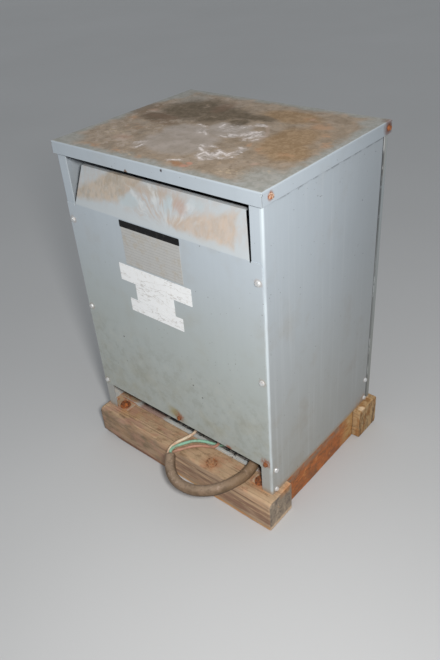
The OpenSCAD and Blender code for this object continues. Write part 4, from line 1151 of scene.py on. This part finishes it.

# %% [markdown]
# Little of the other two shows. The rear timber's right end is tan, with dark fibres across its end
# and two painted highlights, pale spots on its top edge.

# %% Rear and left timbers
rail = timber_finish("rear_timber", ALONG_X, (0.0, 0.26, -0.05), (160, 134, 104), (144, 124, 104),
                     (140, 120, 96))
rail.lay(0.6 * rail.blots(0.05, 0.52, 0.66, rough=0.6, x=2, shift=3), (150, 96, 58), 0.85)
tan_end = rail.x.fade(0.235, 0.255)
rear_blots = rail.cloud(0.018, 5, 0.65, z=2, shift=11)
rail.lay(0.8 * tan_end, rail.mixed(rear_blots.fade(0.40, 0.58), (158, 112, 64), (186, 154, 112)), 0.85)
rear_grain = rail.cloud(0.0042, 4, 0.6, z=9, shift=4)
rail.lay(0.75 * tan_end * rail.part(0).fade(0.6, 0.85) * rear_grain.fade(0.52, 0.60), (92, 70, 48), 0.9)
# painted highlights: two pale spots on the rear timber's top edge
edge_highlights = rail.near([skid_top(0.261, 0.154), skid_top(0.243, 0.201)], 0.011, 0.7, rail.ragged(0.005, 0.008))
rail.lay(0.85 * edge_highlights, (232, 206, 172), 0.8)
rail.dress(timbers["rear"])

hidden = timber_finish("left_timber", ALONG_Y, (-0.30, 0.0, -0.03), (156, 130, 102), (146, 122, 100),
                       (136, 128, 120))
hidden.lay(0.6 * hidden.blots(0.05, 0.52, 0.66, rough=0.6, y=2, shift=5), (150, 92, 54), 0.85)
hidden.dress(timbers["left"])

# %% [markdown]
# ## Cable finishes
# The rubber jacket has a pinkish-brown dust film on top, which also serves as a painted highlight
# along its top, is painted nearly black underneath as painted shade, and carries dark scratches. The
# conductors' plastic is dirty cream, mint green, faded red and black.

# %% Jacket and conductor finishes
rubber = Finish("dusty_jacket", (104, 90, 80), 0.7, Specular_IOR_Level=0.35)
rubber.colour = rubber.mixed(rubber.blots(0.022, 0.36, 0.64, rough=0.6), (98, 80, 60), (126, 104, 84))
# pale dust on top, which is also a painted highlight along the top of the jacket
dust_and_highlight = 0.4 + 1.1 * rubber.cloud(0.03, 5, 0.6, shift=3)
rubber.lay(0.55 * rubber.part(2).fade(0.40, 0.95) * dust_and_highlight, (166, 144, 124), 0.8)
# painted shade: the underside of the jacket is painted nearly black
rubber.lay(0.8 * rubber.part(2).fade(0.0, -0.6), (48, 42, 38), 0.75)
near_panel = rubber.y.fade(-0.270, -0.190) * rubber.x.fade(0.02, 0.08)
rubber.lay(0.60 * near_panel, (124, 98, 70), 0.8)
scratches = rubber.thin(rubber.cloud(0.016, 3, 0.55, x=2.5, y=2.5), 0.5, 0.012)
scratches = scratches * rubber.blots(0.02, 0.5, 0.6, 3, 0.55, shift=8)
rubber.lay(0.35 * scratches, (84, 70, 60), 0.8)
rubber.lay(0.5 * rubber.blots(0.012, 0.52, 0.64, shift=14), (96, 78, 62), 0.8)
crusts = 0.4 * rubber.blots(0.009, 0.56, 0.66, shift=18)
rubber.lay(crusts * rubber.part(2).fade(0.2, 0.8), (190, 166, 152), 0.8)
rubber.relief(scratches, -0.0002)
rubber.relief(rubber.cloud(0.006, 4), 0.0004)
rubber.relief(rubber.cloud(0.0016, 3), 0.00012)
rubber.dress(jacket)

WIRE_COLOURS = {
    "white": ((236, 216, 188), (216, 176, 148)),
    "green": ((146, 196, 170), (138, 158, 134)),
    "red": ((188, 138, 118), (166, 128, 106)),
    "black": ((40, 39, 38), (92, 84, 76)),
}
for colour, (clean, dirty) in WIRE_COLOURS.items():
    sleeve = Finish(f"wire_{colour}_plastic", clean, 0.5)
    sleeve.colour = sleeve.mixed(sleeve.blots(0.015, 0.42, 0.66), clean, dirty)
    sleeve.lay(0.35 * sleeve.blots(0.006, 0.5, 0.7, 4, 0.55, shift=3), (120, 98, 80), 0.75)
    sleeve.relief(sleeve.cloud(0.003, 3), 0.0002)
    sleeve.dress(conductors[colour])


# %% [markdown]
# ## Plates and labels
# The front panel carries a metal data plate under a black bar, and three paper labels. Each is a
# thin sheet with rounded corners that lies on the panel. They are left blank, with ruled rows on
# the data plate, and are worn and dusty like the panel under them.

# %% Thin plates on the front panel
def thin_plate(name, x0, x1, z0, z1, slot, lift=0.0, thick=0.35 * MM, radius=1.5 * MM, steps=5):
    """A sheet with rounded corners that stands lift in front of the panel."""
    centre = Vector(((x0 + x1) / 2, FACE_Y - lift, (z0 + z1) / 2))
    outline = []
    for cx, cz, first in ((x1 - radius, z1 - radius, 0), (x0 + radius, z1 - radius, 90),
                          (x0 + radius, z0 + radius, 180), (x1 - radius, z0 + radius, 270)):
        for i in range(steps + 1):
            angle = math.radians(first + 90 * i / steps)
            outline.append(Vector((cx + radius * math.cos(angle), 0, cz + radius * math.sin(angle))))
    outline = [p - Vector((centre.x, 0, centre.z)) for p in outline]
    n = len(outline)
    vertices = [centre + p for p in outline]
    vertices += [centre + p + Vector((0, -thick, 0)) for p in outline]
    faces = [list(range(n)), list(range(2 * n - 1, n - 1, -1))]
    faces += [(i, i + n, (i + 1) % n + n, (i + 1) % n) for i in range(n)]
    return add_piece(name, vertices, faces, slot, smooth=False)


data_plate = thin_plate("data_plate", -0.097, 0.058, 0.5285, 0.6125, "zinc_steel", thick=0.5 * MM)
black_bar = thin_plate("data_plate_bar", -0.099, 0.059, 0.6105, 0.6245, "zinc_steel", 0.1 * MM, 0.7 * MM)
labels = [
    thin_plate("label_wide", -0.121, 0.076, 0.4865, 0.5255, "insulating_board", 0.3 * MM),
    thin_plate("label_small", -0.081, 0.026, 0.4480, 0.4860, "insulating_board"),
    thin_plate("label_low", -0.103, 0.045, 0.4175, 0.4475, "insulating_board"),
]

# %% Plate and label finishes
ROW_PITCH = 6.2 * MM

plate = Finish("data_plate_metal", (182, 181, 178), 0.42, 0.35)
plate.colour = plate.dimmed((204, 203, 200), 0.88 + 0.2 * plate.cloud(0.012, 5, 0.6))
row = abs(plate.maths("FRACT", plate.z * (1 / ROW_PITCH)) - 0.5).fade(0.06, 0.03)
ruled = row * plate.x.fade(-0.098, -0.096) * plate.x.fade(0.060, 0.058)
plate.lay(0.5 * ruled, (120, 120, 120), 0.5)
plate.lay(0.5 * plate.blots(0.02, 0.5, 0.66, shift=3), (170, 160, 144), 0.65, 0.0)
plate.relief(plate.cloud(0.003, 2), 0.0001)
plate.dress(data_plate)

bar = Finish("black_enamel", (14, 14, 15), 0.45, Specular_IOR_Level=0.3)
bar.lay(0.25 * bar.blots(0.008, 0.52, 0.68), (84, 82, 80), 0.6)
bar.relief(bar.cloud(0.002, 2), 0.00006)
bar.dress(black_bar)

paper = Finish("label_film", (214, 213, 209), 0.45)
paper.colour = paper.dimmed((242, 243, 244), 0.92 + 0.15 * paper.cloud(0.02, 5, 0.6))
paper.lay(0.30 * paper.blots(0.008, 0.54, 0.68, rough=0.68, shift=2), (176, 164, 146), 0.65)
paper.lay(0.4 * paper.thin(paper.cloud(0.02, 3, x=4, shift=7), 0.5, 0.012), (150, 140, 128))
paper.relief(paper.cloud(0.006, 3), 0.00025)
paper.dress(*labels)
